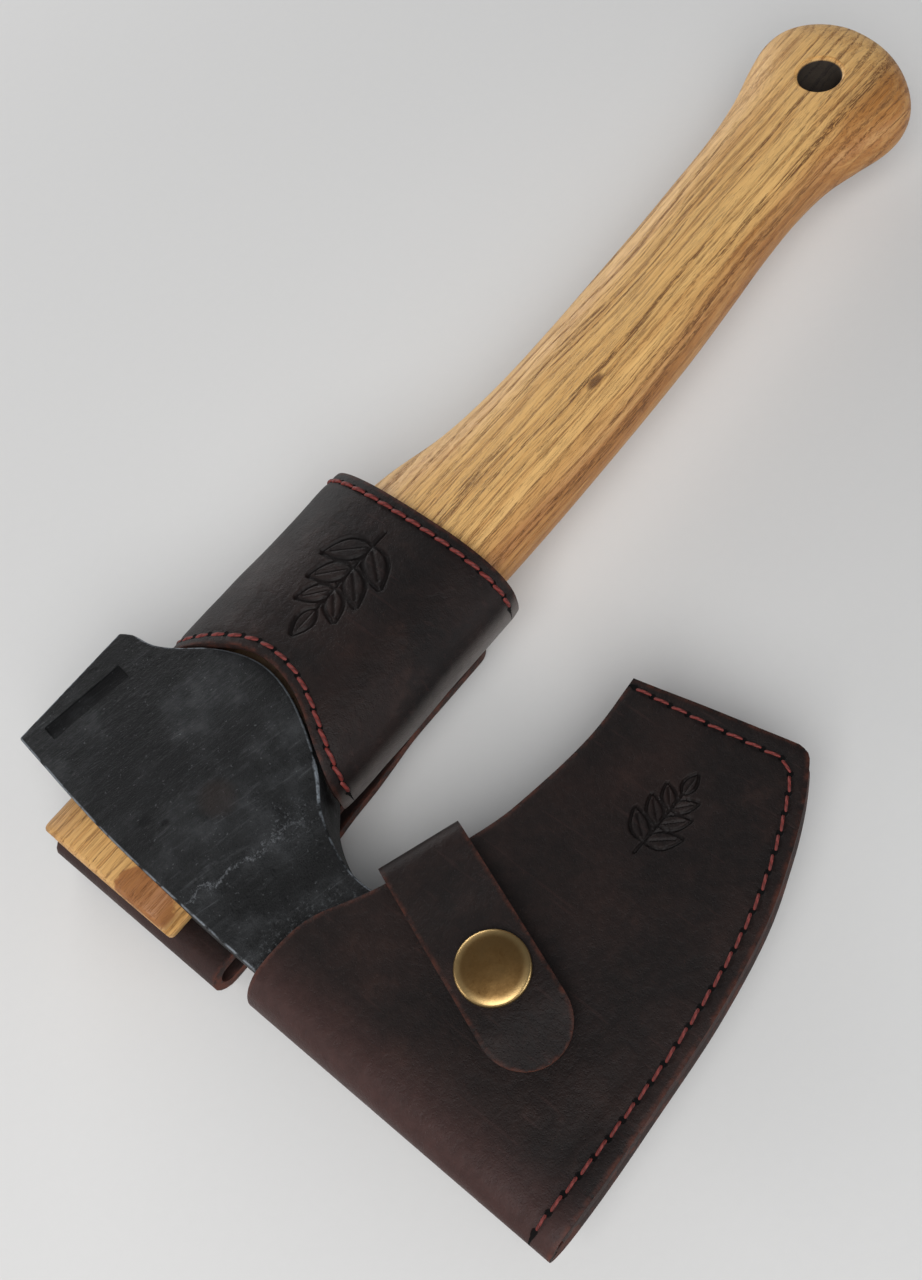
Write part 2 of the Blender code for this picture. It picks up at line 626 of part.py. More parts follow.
def build():
    clear_scene()
    steel = make_material("forged_steel", (0.035, 0.037, 0.042), 0.55, 0.85)
    bright = make_material("wedge_steel", (0.35, 0.35, 0.36), 0.45, 1.0)
    ash = make_material("ash_wood", (0.56, 0.36, 0.15), 0.45)
    wedge_wood = make_material("wedge_wood", (0.42, 0.25, 0.10), 0.55)
    leather = make_material("sheath_leather", (0.045, 0.022, 0.017), 0.5)
    holster_leather = make_material("holster_leather", (0.036, 0.022, 0.020), 0.5)
    red = make_material("red_thread", (0.40, 0.035, 0.025), 0.6)
    brass = make_material("antique_brass", (0.30, 0.20, 0.08), 0.35, 1.0)

    axe = make_carrier("axe")
    sheath = make_carrier("sheath")
    strap = make_carrier("strap", on_strap(HINGE_REACH, z=HINGE_Z), sheath)
    holster = make_carrier("holster")

    make_head(steel, axe)
    make_handle(ash, axe)
    make_wedges(wedge_wood, bright, axe)
    make_sheath(leather, red, sheath)
    make_snap(brass, sheath, strap)
    make_strap(leather, red, strap, sheath)
    make_sleeve(holster_leather, red, holster)
    make_panel(holster_leather, red, holster)


build()
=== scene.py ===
"""Dresses a sheathed carving hatchet: forged head, ash handle, leather blade sheath and belt holster.

Shapes are worked out in millimetres in the datum frame: X runs along the handle from the head to the
butt, Y runs from the bit to the poll and Z runs through the broad side. The datum sits on the handle's
axis at the head's top edge, half way through the head. add_piece() moves a finished shape into the
frame's metres.
"""

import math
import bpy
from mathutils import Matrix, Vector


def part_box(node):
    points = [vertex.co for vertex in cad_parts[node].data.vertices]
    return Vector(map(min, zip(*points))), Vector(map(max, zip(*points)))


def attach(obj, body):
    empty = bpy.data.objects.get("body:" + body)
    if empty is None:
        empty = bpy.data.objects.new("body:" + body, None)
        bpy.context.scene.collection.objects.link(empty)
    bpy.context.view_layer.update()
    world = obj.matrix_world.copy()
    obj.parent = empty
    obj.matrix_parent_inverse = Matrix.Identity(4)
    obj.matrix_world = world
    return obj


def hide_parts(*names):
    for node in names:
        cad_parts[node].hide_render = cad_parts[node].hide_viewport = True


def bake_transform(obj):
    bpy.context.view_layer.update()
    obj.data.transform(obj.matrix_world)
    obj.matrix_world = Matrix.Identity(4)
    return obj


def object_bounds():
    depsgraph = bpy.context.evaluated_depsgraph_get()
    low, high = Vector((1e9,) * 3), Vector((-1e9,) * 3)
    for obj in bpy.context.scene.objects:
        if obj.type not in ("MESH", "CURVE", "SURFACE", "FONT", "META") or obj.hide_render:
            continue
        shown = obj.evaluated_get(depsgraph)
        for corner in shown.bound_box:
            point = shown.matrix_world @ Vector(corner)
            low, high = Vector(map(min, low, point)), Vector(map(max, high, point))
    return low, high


bl_info = {
    "name": "Sheathed Hatchet",
    "version": (1, 0, 0),
    "blender": (4, 5, 0),
    "location": "View3D > Sidebar > Hatchet",
    "description": "Forged hatchet with an ash handle, a snapped leather sheath and a belt holster",
    "category": "Add Mesh",
}

import bmesh
import bpy
from bpy.props import FloatProperty, FloatVectorProperty, PointerProperty
from mathutils import Matrix, Vector, noise

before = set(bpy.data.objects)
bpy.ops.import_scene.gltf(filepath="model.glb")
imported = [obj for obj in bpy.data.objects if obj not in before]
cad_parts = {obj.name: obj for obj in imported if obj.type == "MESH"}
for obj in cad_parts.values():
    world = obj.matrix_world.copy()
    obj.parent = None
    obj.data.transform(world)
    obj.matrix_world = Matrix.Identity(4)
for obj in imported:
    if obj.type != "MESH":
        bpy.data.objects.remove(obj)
cad_low, cad_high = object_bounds()

MM = 0.001

# Head
POLL_Y = 33.5
CHEEK_HALF = 12.5
EDGE_HALF = 0.25
HEEL_X = 91.8
EYE_HALF_Y = 19.3
EYE_HALF_Z = 8.8
TENON_POWER = 3.2

# Handle
TENON_END_X = -1.0
BUTT_X = 277.8
GRIP_POWER = 2.25
HANG_HOLE = (255.0, -2.8)
HANG_HOLE_R = 5.3
KERF_DEPTH = 32.0
RING_R = 5.0
RING_WALL = 1.2
RING_DEPTH = 8.0

# Blade sheath
LEATHER = 2.3
FOLD_X = -0.8
FOLD_ROUND = 6.5
SHEATH_TOE_Y = -120.7
WELT_WIDTH = 7.0
WELT_THICK = 2.9

# Closure strap and snap
STRAP_FOLD = (43.5, -53.2)
STRAP_TURN = math.radians(20.2)
STRAP_HALF_WIDTH = 9.3
STRAP_THICK = 2.2
STRAP_TAIL = 24.0
STRAP_REACH = 50.6
SNAP_REACH = 30.4
SNAP_STACK = 3.2
HINGE_REACH = 3.5
HINGE_Z = -8.5

# Belt holster
SLEEVE_MID_Y = -2.0
SLEEVE_HALF_Y = 27.4
SLEEVE_HALF_Z = 14.4
SLEEVE_WALL = 2.2
SLEEVE_POWER = 2.6
SLEEVE_TOP_X = 101.6
SLEEVE_BACK_X = 66.0
PANEL_LOW_Y = -27.0
PANEL_HIGH_Y = 25.0
PANEL_TAPER = 4.0
LOOP_NOSE_X = -2.7
LOOP_GAP = 5.2
LEAF_FRONT_Z = -12.8

GAP = 0.3                    # air between pieces that lie on each other
STRAP_GAP = 0.5              # air between the strap and the sheath
FAR = 99.0                   # stands for no seam or rim close by

head_low, head_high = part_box("axe_head")
handle_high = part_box("handle")[1]
DATUM = Vector((handle_high.x - BUTT_X * MM, head_high.y - POLL_Y * MM, (head_low.z + head_high.z) / 2))


# ---- sizes and colours

def colour_property(name, description, default):
    return FloatVectorProperty(name=name, description=description, default=default, subtype="COLOR",
                               size=3, min=0.0, max=1.0)


def length_property(name, description, default, low, high):
    return FloatProperty(name=name, description=description, default=default * MM, min=low * MM,
                         max=high * MM, unit="LENGTH", precision=5)


class HatchetSizes(bpy.types.PropertyGroup):
    stitch_pitch: length_property("Stitch pitch", "Distance from one stitch hole to the next", 4.2, 2, 10)
    thread_radius: length_property("Thread radius", "Half the width of the waxed thread", 0.46, 0.2, 1)
    tooling_depth: length_property("Tooling depth", "How deep the tooled sprigs are pressed", 0.55, 0, 1)
    forge_ripple: length_property("Forge ripple", "Height of the waves left by the hammer", 0.22, 0, 1)
    key_power: FloatProperty(name="Key light", description="Power of the large soft light",
                             default=9.0, min=0.0, unit="POWER")


class HatchetColours(bpy.types.PropertyGroup):
    steel: colour_property("Steel", "Blackened skin of the forging", (0.0066, 0.0068, 0.0071))
    scale: colour_property("Scale", "Bare and scuffed steel", (0.15, 0.157, 0.165))
    ash: colour_property("Ash", "Pale late wood", (0.76, 0.465, 0.172))
    ash_shade: colour_property("Ash shade", "Browner early wood", (0.50, 0.245, 0.072))
    # This colour also paints the shade on the handle's bit-facing side.
    ash_heart_and_side_shade: colour_property("Ash heart", "Reddish wood near the bit side", (0.34, 0.136, 0.030))
    ash_pore: colour_property("Ash pores", "Open pores filled with oil", (0.135, 0.050, 0.015))
    leather: colour_property("Leather", "Deep brown of the oiled hide", (0.0052, 0.0035, 0.0033))
    leather_warm: colour_property("Warm leather", "Pulled-up brown where the hide bends",
                                  (0.0175, 0.0095, 0.0080))
    # This reddish brown is also a painted sheen where it tints the folds of the sheath and panel;
    # scratches use it too.
    fold: colour_property("Fold", "Reddish brown along a stretched fold", (0.066, 0.032, 0.0285))
    raw_edge: colour_property("Raw edge", "Cut leather", (0.15, 0.038, 0.019))
    thread: colour_property("Thread", "Waxed red thread", (0.165, 0.023, 0.018))
    brass: colour_property("Brass", "Rubbed antique brass", (0.24, 0.140, 0.052))
    brass_dark: colour_property("Dark brass", "Tarnish on the brass", (0.085, 0.045, 0.015))


# ---- lines and tables

def smooth(points, per_span):
    """Catmull-Rom curve through the points, as a list of vectors."""
    knots = [Vector(p) for p in points]
    knots = [2 * knots[0] - knots[1]] + knots + [2 * knots[-1] - knots[-2]]
    curve = []
    for a, b, c, d in zip(knots, knots[1:], knots[2:], knots[3:]):
        for i in range(per_span):
            t = i / per_span
            curve.append(0.5 * (2 * b + (c - a) * t + (2 * a - 5 * b + 4 * c - d) * t ** 2
                                + (3 * b - a - 3 * c + d) * t ** 3))
    return curve + [knots[-2]]


def read(table, value):
    """Smooth reading of (position, size) pairs that run upwards."""
    if value <= table[0][0]:
        return table[0][1]
    if value >= table[-1][0]:
        return table[-1][1]
    k = next(i for i in range(len(table) - 1) if value <= table[i + 1][0])
    slopes = []
    for i in (k, k + 1):
        low, high = table[max(i - 1, 0)], table[min(i + 1, len(table) - 1)]
        slopes.append((high[1] - low[1]) / (high[0] - low[0]))
    (start, low), (stop, high) = table[k], table[k + 1]
    span = stop - start
    t = (value - start) / span
    return (low * (2 * t ** 3 - 3 * t ** 2 + 1) + high * (3 * t ** 2 - 2 * t ** 3)
            + span * (slopes[0] * (t ** 3 - 2 * t ** 2 + t) + slopes[1] * (t ** 3 - t ** 2)))


def ease(value, start, stop):
    """0 at start, 1 at stop and smooth between."""
    t = min(1.0, max(0.0, (value - start) / (stop - start)))
    return t * t * (3 - 2 * t)


def steps(count, first=None):
    """Shares from 0 to 1, in count steps, with a narrow step of its own at both ends."""
    plain = [i / count for i in range(count + 1)]
    if first is None:
        return plain
    return [0.0] + [first + (1 - 2 * first) * t for t in plain] + [1.0]


def full_oval(count, power):
    """Points round a unit oval, rounder at power 2 and boxier above it."""
    points = []
    for i in range(count):
        a = 2 * math.pi * i / count
        c, s = math.cos(a), math.sin(a)
        points.append((math.copysign(abs(c) ** (2 / power), c), math.copysign(abs(s) ** (2 / power), s)))
    return points


class Path:
    """Smooth line through a few points, read by distance."""

    def __init__(self, points, per_span=6):
        self.points = smooth([(*p, 0.0)[:3] for p in points], per_span)
        self.marks = [0.0]
        for a, b in zip(self.points, self.points[1:]):
            self.marks.append(self.marks[-1] + (b - a).length)
        self.length = self.marks[-1]

    def at(self, distance):
        for mark, a, b in zip(self.marks, self.points, self.points[1:]):
            span = (b - a).length
            if distance <= mark + span and span > 0:
                return a + (b - a) * ((distance - mark) / span)
        return self.points[-1].copy()

    def share(self, part):
        return self.at(part * self.length)

    def near(self, point):
        """How far along the nearest spot lies, and the point's signed distance to it in the plane."""
        best = (FAR ** 2, 0.0, FAR)
        for mark, a, b in zip(self.marks, self.points, self.points[1:]):
            span = b - a
            if not span.length_squared:
                continue
            share = min(1.0, max(0.0, (point - a).dot(span) / span.length_squared))
            gap = point - a - span * share
            if gap.length_squared < best[0]:
                side = math.copysign(gap.length, span.x * gap.y - span.y * gap.x)
                best = (gap.length_squared, mark + share * span.length, side)
        return best[1], best[2]


def patch(low, high, start, stop, s, t):
    """Spot in the patch between four paths: low and high run with s, start and stop run with t."""
    corners = (low.points[0] * (1 - s) * (1 - t) + low.points[-1] * s * (1 - t)
               + high.points[0] * (1 - s) * t + high.points[-1] * s * t)
    return (low.share(s) * (1 - t) + high.share(s) * t + start.share(t) * (1 - s) + stop.share(t) * s
            - corners)


# ---- mesh helpers

def lay_grid(across, along, place):
    """Sheet of faces whose vertices go to place(s, t), for s in across and t in along."""
    bm = bmesh.new()
    wide, long = len(across) - 1, len(along) - 1
    bmesh.ops.create_grid(bm, x_segments=wide, y_segments=long, size=0.5)
    for vert in bm.verts:
        s = across[round((vert.co.x + 0.5) * wide)]
        t = along[round((vert.co.y + 0.5) * long)]
        vert.co = place(s, t)
    return bm


def face_outwards(bm, centre):
    """Turn an open sheet so that its faces look away from a centre."""
    centre = Vector(centre)
    if sum(f.normal.dot(f.calc_center_median() - centre) for f in bm.faces) < 0:
        bmesh.ops.reverse_faces(bm, faces=bm.faces[:])


def sweep(sections):
    """Solid through a row of sections, each a ring of points, by extruding the first one's face."""
    bm = bmesh.new()
    face = bm.faces.new([bm.verts.new(p) for p in sections[0]])
    for section in sections[1:]:
        made = bmesh.ops.extrude_face_region(bm, geom=[face, *face.edges, *face.verts])["geom"]
        face = next(f for f in made if isinstance(f, bmesh.types.BMFace))
        for vert, point in zip(face.verts, section):
            vert.co = point
    return bm


def turned(profile, segments):
    """Solid turned about Z from a closed profile of (radius, height) points."""
    bm = bmesh.new()
    ring = [bm.verts.new((r, 0, z)) for r, z in profile]
    edges = [bm.edges.new(pair) for pair in zip(ring, ring[1:] + ring[:1])]
    bmesh.ops.spin(bm, geom=ring + edges, cent=(0, 0, 0), axis=(0, 0, 1), angle=2 * math.pi,
                   steps=segments, use_merge=True)
    bmesh.ops.remove_doubles(bm, verts=bm.verts[:], dist=0.001)
    bmesh.ops.delete(bm, geom=[e for e in bm.edges if not e.link_faces], context="EDGES")
    return bm


def mark(bm, **values):
    """Write named numbers on the vertices, each from a function of the vertex."""
    for name, value in values.items():
        layer = bm.verts.layers.float.get(name) or bm.verts.layers.float.new(name)
        for vert in bm.verts:
            vert[layer] = value(vert)


def shade(mesh, angle):
    """Smooth shading with sharp edges above an angle in degrees."""
    mesh.shade_smooth()
    mesh.set_sharp_from_angle(angle=math.radians(angle))


def spot_key(point):
    return tuple(round(c, 3) for c in point)


def mark_seams(bm, notes):
    """Write the (stitch, seam, rim) numbers that were noted by spot, and no tooling yet."""
    found = [notes[spot_key(v.co)] for v in bm.verts]
    bm.verts.index_update()
    mark(bm, stitch=lambda v: found[v.index][0], seam=lambda v: found[v.index][1],
         rim=lambda v: found[v.index][2], pressed=lambda v: 0.0)


def add_piece(name, bm, finishes, closed=True, angle=40.0):
    """Object from a datum millimetre bmesh, placed in the frame by its mesh."""
    if closed:
        bmesh.ops.recalc_face_normals(bm, faces=bm.faces[:])
    bmesh.ops.transform(bm, matrix=Matrix.Translation(DATUM) @ Matrix.Scale(MM, 4), verts=bm.verts[:])
    mesh = bpy.data.meshes.new(name)
    bm.to_mesh(mesh)
    bm.free()
    shade(mesh, angle)
    item = bpy.data.objects.new(name, mesh)
    bpy.context.scene.collection.objects.link(item)
    for finish in finishes:
        mesh.materials.append(finish)
    return item


def settle(item):
    """Keep the shape that a piece's modifiers give."""
    graph = bpy.context.evaluated_depsgraph_get()
    made = bpy.data.meshes.new_from_object(item.evaluated_get(graph), preserve_all_data_layers=True,
                                           depsgraph=graph)
    item.modifiers.clear()
    plain = item.data
    item.data = made
    bpy.data.meshes.remove(plain)
    made.name = item.name
    return item


def carve(item, bm):
    """Cut a piece with a datum millimetre bmesh."""
    cutter = add_piece("cutter", bm, item.data.materials[:1])
    modifier = item.modifiers.new("Carve", "BOOLEAN")
    modifier.operation = "DIFFERENCE"
    modifier.solver = "EXACT"
    modifier.object = cutter
    settle(item)
    shape = cutter.data
    bpy.data.objects.remove(cutter)
    bpy.data.meshes.remove(shape)


def thicken(item, wall, offset, soften=0.35):
    """Give a leather sheet its wall, with its cut edges in the second finish and slightly rounded."""
    solid = item.modifiers.new("Wall", "SOLIDIFY")
    solid.thickness = wall * MM
    solid.offset = offset
    solid.material_offset_rim = 1
    solid.use_quality_normals = True
    settle(item)
    rim = item.modifiers.new("Soft rim", "BEVEL")
    rim.width = soften * MM
    rim.segments = 2
    rim.limit_method = "ANGLE"
    rim.angle_limit = math.radians(50)
    settle(item)
    shade(item.data, 60)


def hand_over(item, body, slot, *nodes):
    """Say which body a piece rides on and the CAD nodes that it stands for; the slot argument is not
    used.
    """
    if body:
        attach(item, body)
    if nodes:
        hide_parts(*nodes)
    return item


# ---- materials

def math_step(operation, swapped=False):
    """Method that adds a Math node for a wire and another value; swapped puts the wire second."""
    def method(self, other):
        return self.step(operation, *((other, self) if swapped else (self, other)))
    return method


class Wire:
    """A node's output that sums can be written with: each step adds one Math node."""

    def __init__(self, finish, socket):
        self.finish = finish
        self.socket = socket

    def step(self, operation, *values, clamp=False):
        return self.finish.node("ShaderNodeMath", {"operation": operation, "use_clamp": clamp},
                                dict(enumerate(values)))

    __add__, __radd__ = math_step("ADD"), math_step("ADD", swapped=True)
    __sub__, __rsub__ = math_step("SUBTRACT"), math_step("SUBTRACT", swapped=True)
    __mul__ = math_step("MULTIPLY")
    __truediv__ = math_step("DIVIDE")
    __pow__ = math_step("POWER")
    larger = math_step("MAXIMUM")

    def __abs__(self):
        return self.step("ABSOLUTE", self)

    def fraction(self):
        return self.step("FRACT", self)

    def clamped(self):
        return self.step("ADD", self, 0.0, clamp=True)

    def ramp(self, start, stop):
        """0 at start, 1 at stop and smooth between, whichever is larger."""
        return self.finish.node("ShaderNodeMapRange", {"interpolation_type": "SMOOTHSTEP"},
                                {"Value": self, "From Min": start, "From Max": stop})


class Finish:
    """A material of nodes whose patterns are read in datum millimetres."""

    def __init__(self, name, **constants):
        self.material = bpy.data.materials.new(name)
        self.material.use_nodes = True
        self.tree = self.material.node_tree
        self.shader = self.tree.nodes["Principled BSDF"]
        for socket, value in constants.items():
            self.shader.inputs[socket.replace("_", " ")].default_value = value
        world = self.node("ShaderNodeTexCoord", {}, {}, "Object")
        self.place = self.node("ShaderNodeMapping", {}, {"Vector": world, "Location": -DATUM / MM,
                                                         "Scale": (1 / MM,) * 3})
        self.x, self.y, self.z = self.split(self.place)

    def node(self, kind, settings, values, output=0):
        """Any node: its settings go first, then the values or links of its sockets."""
        made = self.tree.nodes.new(kind)
        for setting, value in settings.items():
            setattr(made, setting, value)
        for socket, value in values.items():
            if isinstance(value, Wire):
                self.tree.links.new(value.socket, made.inputs[socket])
            else:
                made.inputs[socket].default_value = value
        return Wire(self, made.outputs[output])

    def split(self, vector):
        first = self.node("ShaderNodeSeparateXYZ", {}, {0: vector})
        return [Wire(self, socket) for socket in first.socket.node.outputs]

    def join(self, x, y, z):
        return self.node("ShaderNodeCombineXYZ", {}, {0: x, 1: y, 2: z})

    def stretched(self, x, y, z):
        return self.node("ShaderNodeVectorMath", {"operation": "MULTIPLY"}, {0: self.place, 1: (x, y, z)})

    def noise(self, per_mm, detail=3.0, rough=0.55, vector=None, warp=0.0):
        return self.node("ShaderNodeTexNoise", {}, {"Vector": vector or self.place, "Scale": per_mm,
                                                    "Detail": detail, "Roughness": rough,
                                                    "Distortion": warp})

    def grain(self, x, y, z, detail, rough):
        """Noise with its own scale per millimetre along each axis."""
        return self.noise(1.0, detail, rough, self.stretched(x, y, z))

    def cells(self, per_mm):
        return self.node("ShaderNodeTexVoronoi", {}, {"Vector": self.place, "Scale": per_mm})

    def around(self, x, y, x_weight=1.0, y_weight=1.0):
        """Squared and weighted distance from (x, y) on the broad side."""
        run, rise = self.x - x, self.y - y
        return run * run * x_weight + rise * rise * y_weight

    def mark(self, name):
        return self.node("ShaderNodeAttribute", {"attribute_name": name}, {}, "Fac")

    def mix(self, factor, a, b):
        colours = [c if isinstance(c, Wire) else (*c, 1.0) for c in (a, b)]
        return self.node("ShaderNodeMix", {"data_type": "RGBA"},
                         {0: factor, 6: colours[0], 7: colours[1]}, 2)

    def bump(self, height, depth, before=None):
        """Relief from a height of 0 to 1 that is depth millimetres high."""
        values = {"Height": height, "Distance": depth * MM}
        if before:
            values["Normal"] = before
        return self.node("ShaderNodeBump", {}, values)

    def paint(self, **wires):
        for socket, wire in wires.items():
            self.tree.links.new(wire.socket, self.shader.inputs[socket.replace("_", " ")])
        return self.material


def forged_steel(colours):
    """Blackened forging: grind lines, cloudy scale, specks, a crooked scale line, rubbed rims with a
    painted highlight and painted shade in the stamp recess.
    """
    f = Finish("blackened_forged_steel", Specular_IOR_Level=0.24)
    cloud = f.noise(0.05, 5.0, 0.62)
    patches = f.noise(0.16, 4.0, 0.6)
    slope = f.node("ShaderNodeMapping", {}, {"Vector": f.place, "Rotation": (0.0, 0.0, math.radians(12))})
    lay = f.node("ShaderNodeVectorMath", {"operation": "MULTIPLY"}, {0: slope, 1: (0.15, 1.3, 0.6)})
    grind = f.noise(1.0, 4.0, 0.7, lay)
    strokes = f.noise(0.30, 5.0, 0.8, lay, 0.6)
    fine = f.noise(2.4, 3.0, 0.7)
    pits = f.cells(0.42)
    specks = f.noise(1.5, 2.0, 0.6).ramp(0.66, 0.74)

    front = f.z.ramp(0.0, 4.0)
    wander = f.noise(0.17, 6.0, 0.8) - 0.5
    on_line = f.x.ramp(4.5, 6.5) * f.x.ramp(35.0, 30.0) * front
    line = abs(f.y + 21.2 + f.x * 0.25 - wander * 11.0)
    scar = line.ramp(0.62, 0.15) * on_line * f.noise(0.9, 4.0, 0.75).ramp(0.40, 0.54)
    halo = line.ramp(3.6, 0.2) * on_line * f.noise(1.4, 4.0, 0.8).ramp(0.55, 0.68)
    crumble = (f.around(33.0, -28.0, 0.020, 0.026).ramp(1.0, 0.1) * front
               * f.noise(1.15, 4.0, 0.85).ramp(0.54, 0.64))
    mouth = f.y + 44.5 + f.x.ramp(12.0, 34.0) * 7.5
    rubbed = mouth.ramp(10.0, 0.0) * f.noise(1.1, 4.0, 0.85).ramp(0.52, 0.66) * f.y.ramp(-75.0, -55.0)
    # Rims are rubbed bare steel and also carry a painted bluish highlight.
    rim = f.mark("rim") * f.noise(0.35, 3.0, 0.7).ramp(0.36, 0.56)
    edge_steel = f.y.ramp(-103.0, -109.0)
    dents = f.around(13.0, -4.5).ramp(2.4, 0.3).larger(f.around(15.4, -8.0).ramp(1.3, 0.2)) * front

    pale = (scar * 0.85).larger(crumble * 0.75).larger(halo * 0.28)
    pale = pale.larger(rubbed * 0.62).larger(rim * 0.8)
    scuff = cloud.ramp(0.44, 0.70) * (0.07 + patches.ramp(0.4, 0.7) * 0.16)
    scuff = scuff + grind.ramp(0.50, 0.76) * 0.06 + specks * 0.34
    scuff = scuff + strokes.ramp(0.56, 0.74) * cloud.ramp(0.42, 0.6) * 0.26
    stamped = f.mark("stamp")
    colour = f.mix((scuff + pale).clamped(), colours.steel, colours.scale)
    # Painted highlight: a pale bluish line along the rubbed rims.
    colour = f.mix(rim * 0.45, colour, (0.28, 0.32, 0.36))
    colour = f.mix(edge_steel * 0.8, colour, (0.42, 0.43, 0.44))
    rust = f.around(26.0, -13.0).ramp(26.0, 2.0) * front * patches
    colour = f.mix(rust * 0.35, colour, (0.045, 0.020, 0.010))
    # Painted shade darkens the floor of the stamp recess; the dents are darkened too.
    colour = f.mix((stamped * 0.30).larger(dents * 0.85), colour, (0.004, 0.004, 0.0045))
    rough = 0.50 + cloud * 0.16 - grind.ramp(0.5, 0.8) * 0.10 + stamped * 0.2 - rim * 0.16
    metal = 0.35 + pale * 0.45 + edge_steel * 0.2
    relief = f.bump(cloud * 0.7 + patches * 0.5, 1.3)
    relief = f.bump(grind * 0.7 + strokes * 1.4, 0.22, relief)
    relief = f.bump(fine * 1.3 + pits.ramp(0.0, 0.28) * 0.9, 0.17, relief)
    relief = f.bump(scar.larger(crumble) - dents, 0.22, relief)
    return f.paint(Base_Color=colour, Roughness=rough.clamped(), Metallic=metal.clamped(), Normal=relief)


def ash_wood(colours):
    """Ring-porous wood: growth rings over the broad side, rows of dashed pores, heartwood to the bit that
    also paints the shade of the bit-facing side, painted shade with oily dirt in the gap between head and
    sleeve, and a hanging hole painted dark as shade.
    """
    f = Finish("oiled_ash", Specular_IOR_Level=0.4)
    sway = f.grain(0.009, 0.03, 0.03, 2.0, 0.5) - 0.5
    drift = f.grain(0.018, 0.14, 0.14, 3.0, 0.6) - 0.5
    across = f.y * 0.93 + f.z * 0.42 + sway * 9.0 + drift * 2.6
    bands = f.noise(1.0, 3.0, 0.6, f.join(across * 0.33, f.x * 0.004, 0.0))
    rings = across / 2.7 + bands * 3.0
    ring = rings.fraction()
    early = ring.ramp(0.0, 0.08) * ring.ramp(0.50, 0.16)
    uneven = f.noise(1.0, 2.0, 0.5, f.join(rings * 0.61, f.x * 0.010, 0.0))
    dash = f.grain(0.17, 4.6, 4.6, 3.0, 0.7).ramp(0.50, 0.545)
    hair = f.grain(0.11, 4.6, 4.6, 3.0, 0.7).ramp(0.54, 0.62)
    streak = f.grain(0.008, 0.62, 0.62, 3.0, 0.6)
    fibre = f.grain(0.05, 2.4, 2.4, 4.0, 0.7)
    blush = f.grain(0.02, 0.07, 0.07, 3.0, 0.55)

    knot = (f.around(152.3, -12.9, 0.13, 0.9) + drift * 2.0).ramp(1.6, 0.3) * f.z.ramp(4.0, 8.0)
    ripple = f.noise(0.5, 3.0, 0.6) - 0.5
    spot_x, spot_y = f.x - 1.5, f.y + 12.6 + ripple * 3.0
    blotch = ((spot_x * spot_x * 0.030 + spot_y * spot_y * 0.023).ramp(1.15, 0.85) * f.x.ramp(9.0, 6.0)
              * f.z.ramp(1.0, 4.0))

    # Heartwood towards the bit; the same band paints the shade on the handle's bit-facing side.
    heart_and_side_shade = (f.y + sway * 22.0 + f.z * 0.5 + drift * 5.0 - f.x.ramp(222.0, 262.0) * 4.0).ramp(-7.0, -17.0)
    heart_and_side_shade = heart_and_side_shade * f.x.ramp(40.0, 90.0)
    pores = early * dash * (0.45 + uneven.ramp(0.35, 0.65) * 0.55)
    colour = f.mix(fibre.ramp(0.3, 0.75) * 0.35 + early * 0.30 + streak.ramp(0.42, 0.66) * 0.45,
                   colours.ash, colours.ash_shade)
    colour = f.mix(blush.ramp(0.5, 0.75) * 0.22, colour, colours.ash_heart_and_side_shade)
    colour = f.mix(heart_and_side_shade * (0.66 + streak.ramp(0.3, 0.6) * 0.30), colour, colours.ash_heart_and_side_shade)
    colour = f.mix(hair * (0.26 + streak.ramp(0.45, 0.65) * 0.32), colour, colours.ash_pore)
    colour = f.mix(pores * 0.9, colour, colours.ash_pore)
    colour = f.mix(f.x.ramp(9.0, 6.0) * 0.30, colour, colours.ash_shade)
    colour = f.mix(blotch * 0.85, colour, (0.27, 0.092, 0.024))
    colour = f.mix(knot * 0.85, colour, (0.12, 0.045, 0.016))
    # Painted shade, with oily dirt, on the handle in the narrow gap between the head and the sleeve.
    gap_shade_and_dirt = f.x.ramp(60.0, 56.0) * f.x.ramp(30.0, 40.0)
    colour = f.mix(gap_shade_and_dirt * 0.96, colour, (0.035, 0.020, 0.012))
    # The hanging hole's wall is painted dark slate as shade.
    inside = f.mark("bore_shade")
    colour = f.mix(inside * 0.95, colour, (0.010, 0.013, 0.017))
    rough = 0.42 + pores * 0.3 + fibre * 0.12 + inside * 0.3
    relief = f.bump(1.0 - (pores.larger(hair * 0.45)), 0.11)
    relief = f.bump(fibre, 0.05, relief)
    return f.paint(Base_Color=colour, Roughness=rough.clamped(), Normal=relief)


def wedge_wood(colours):
    """Beech wedge with its end grain showing."""
    f = Finish("beech_wedge", Specular_IOR_Level=0.35)
    flecks = f.grain(0.3, 3.0, 3.0, 3.0, 0.6)
    end_grain = f.cells(2.2)
    colour = f.mix(flecks.ramp(0.4, 0.7), (0.40, 0.21, 0.075), (0.22, 0.10, 0.035))
    colour = f.mix(end_grain.ramp(0.25, 0.05) * 0.5, colour, colours.ash_pore)
    return f.paint(Base_Color=colour, Roughness=0.5 + flecks * 0.25, Normal=f.bump(flecks, 0.08))


def wedge_steel():
    """Plain steel of the ring wedge, dulled by the hammer."""
    f = Finish("hammered_wedge_steel", Metallic=1.0)
    dull = f.noise(0.9, 4.0, 0.7)
    colour = f.mix(dull.ramp(0.35, 0.7), (0.42, 0.42, 0.42), (0.19, 0.17, 0.15))
    return f.paint(Base_Color=colour, Roughness=0.34 + dull * 0.3, Normal=f.bump(dull, 0.05))


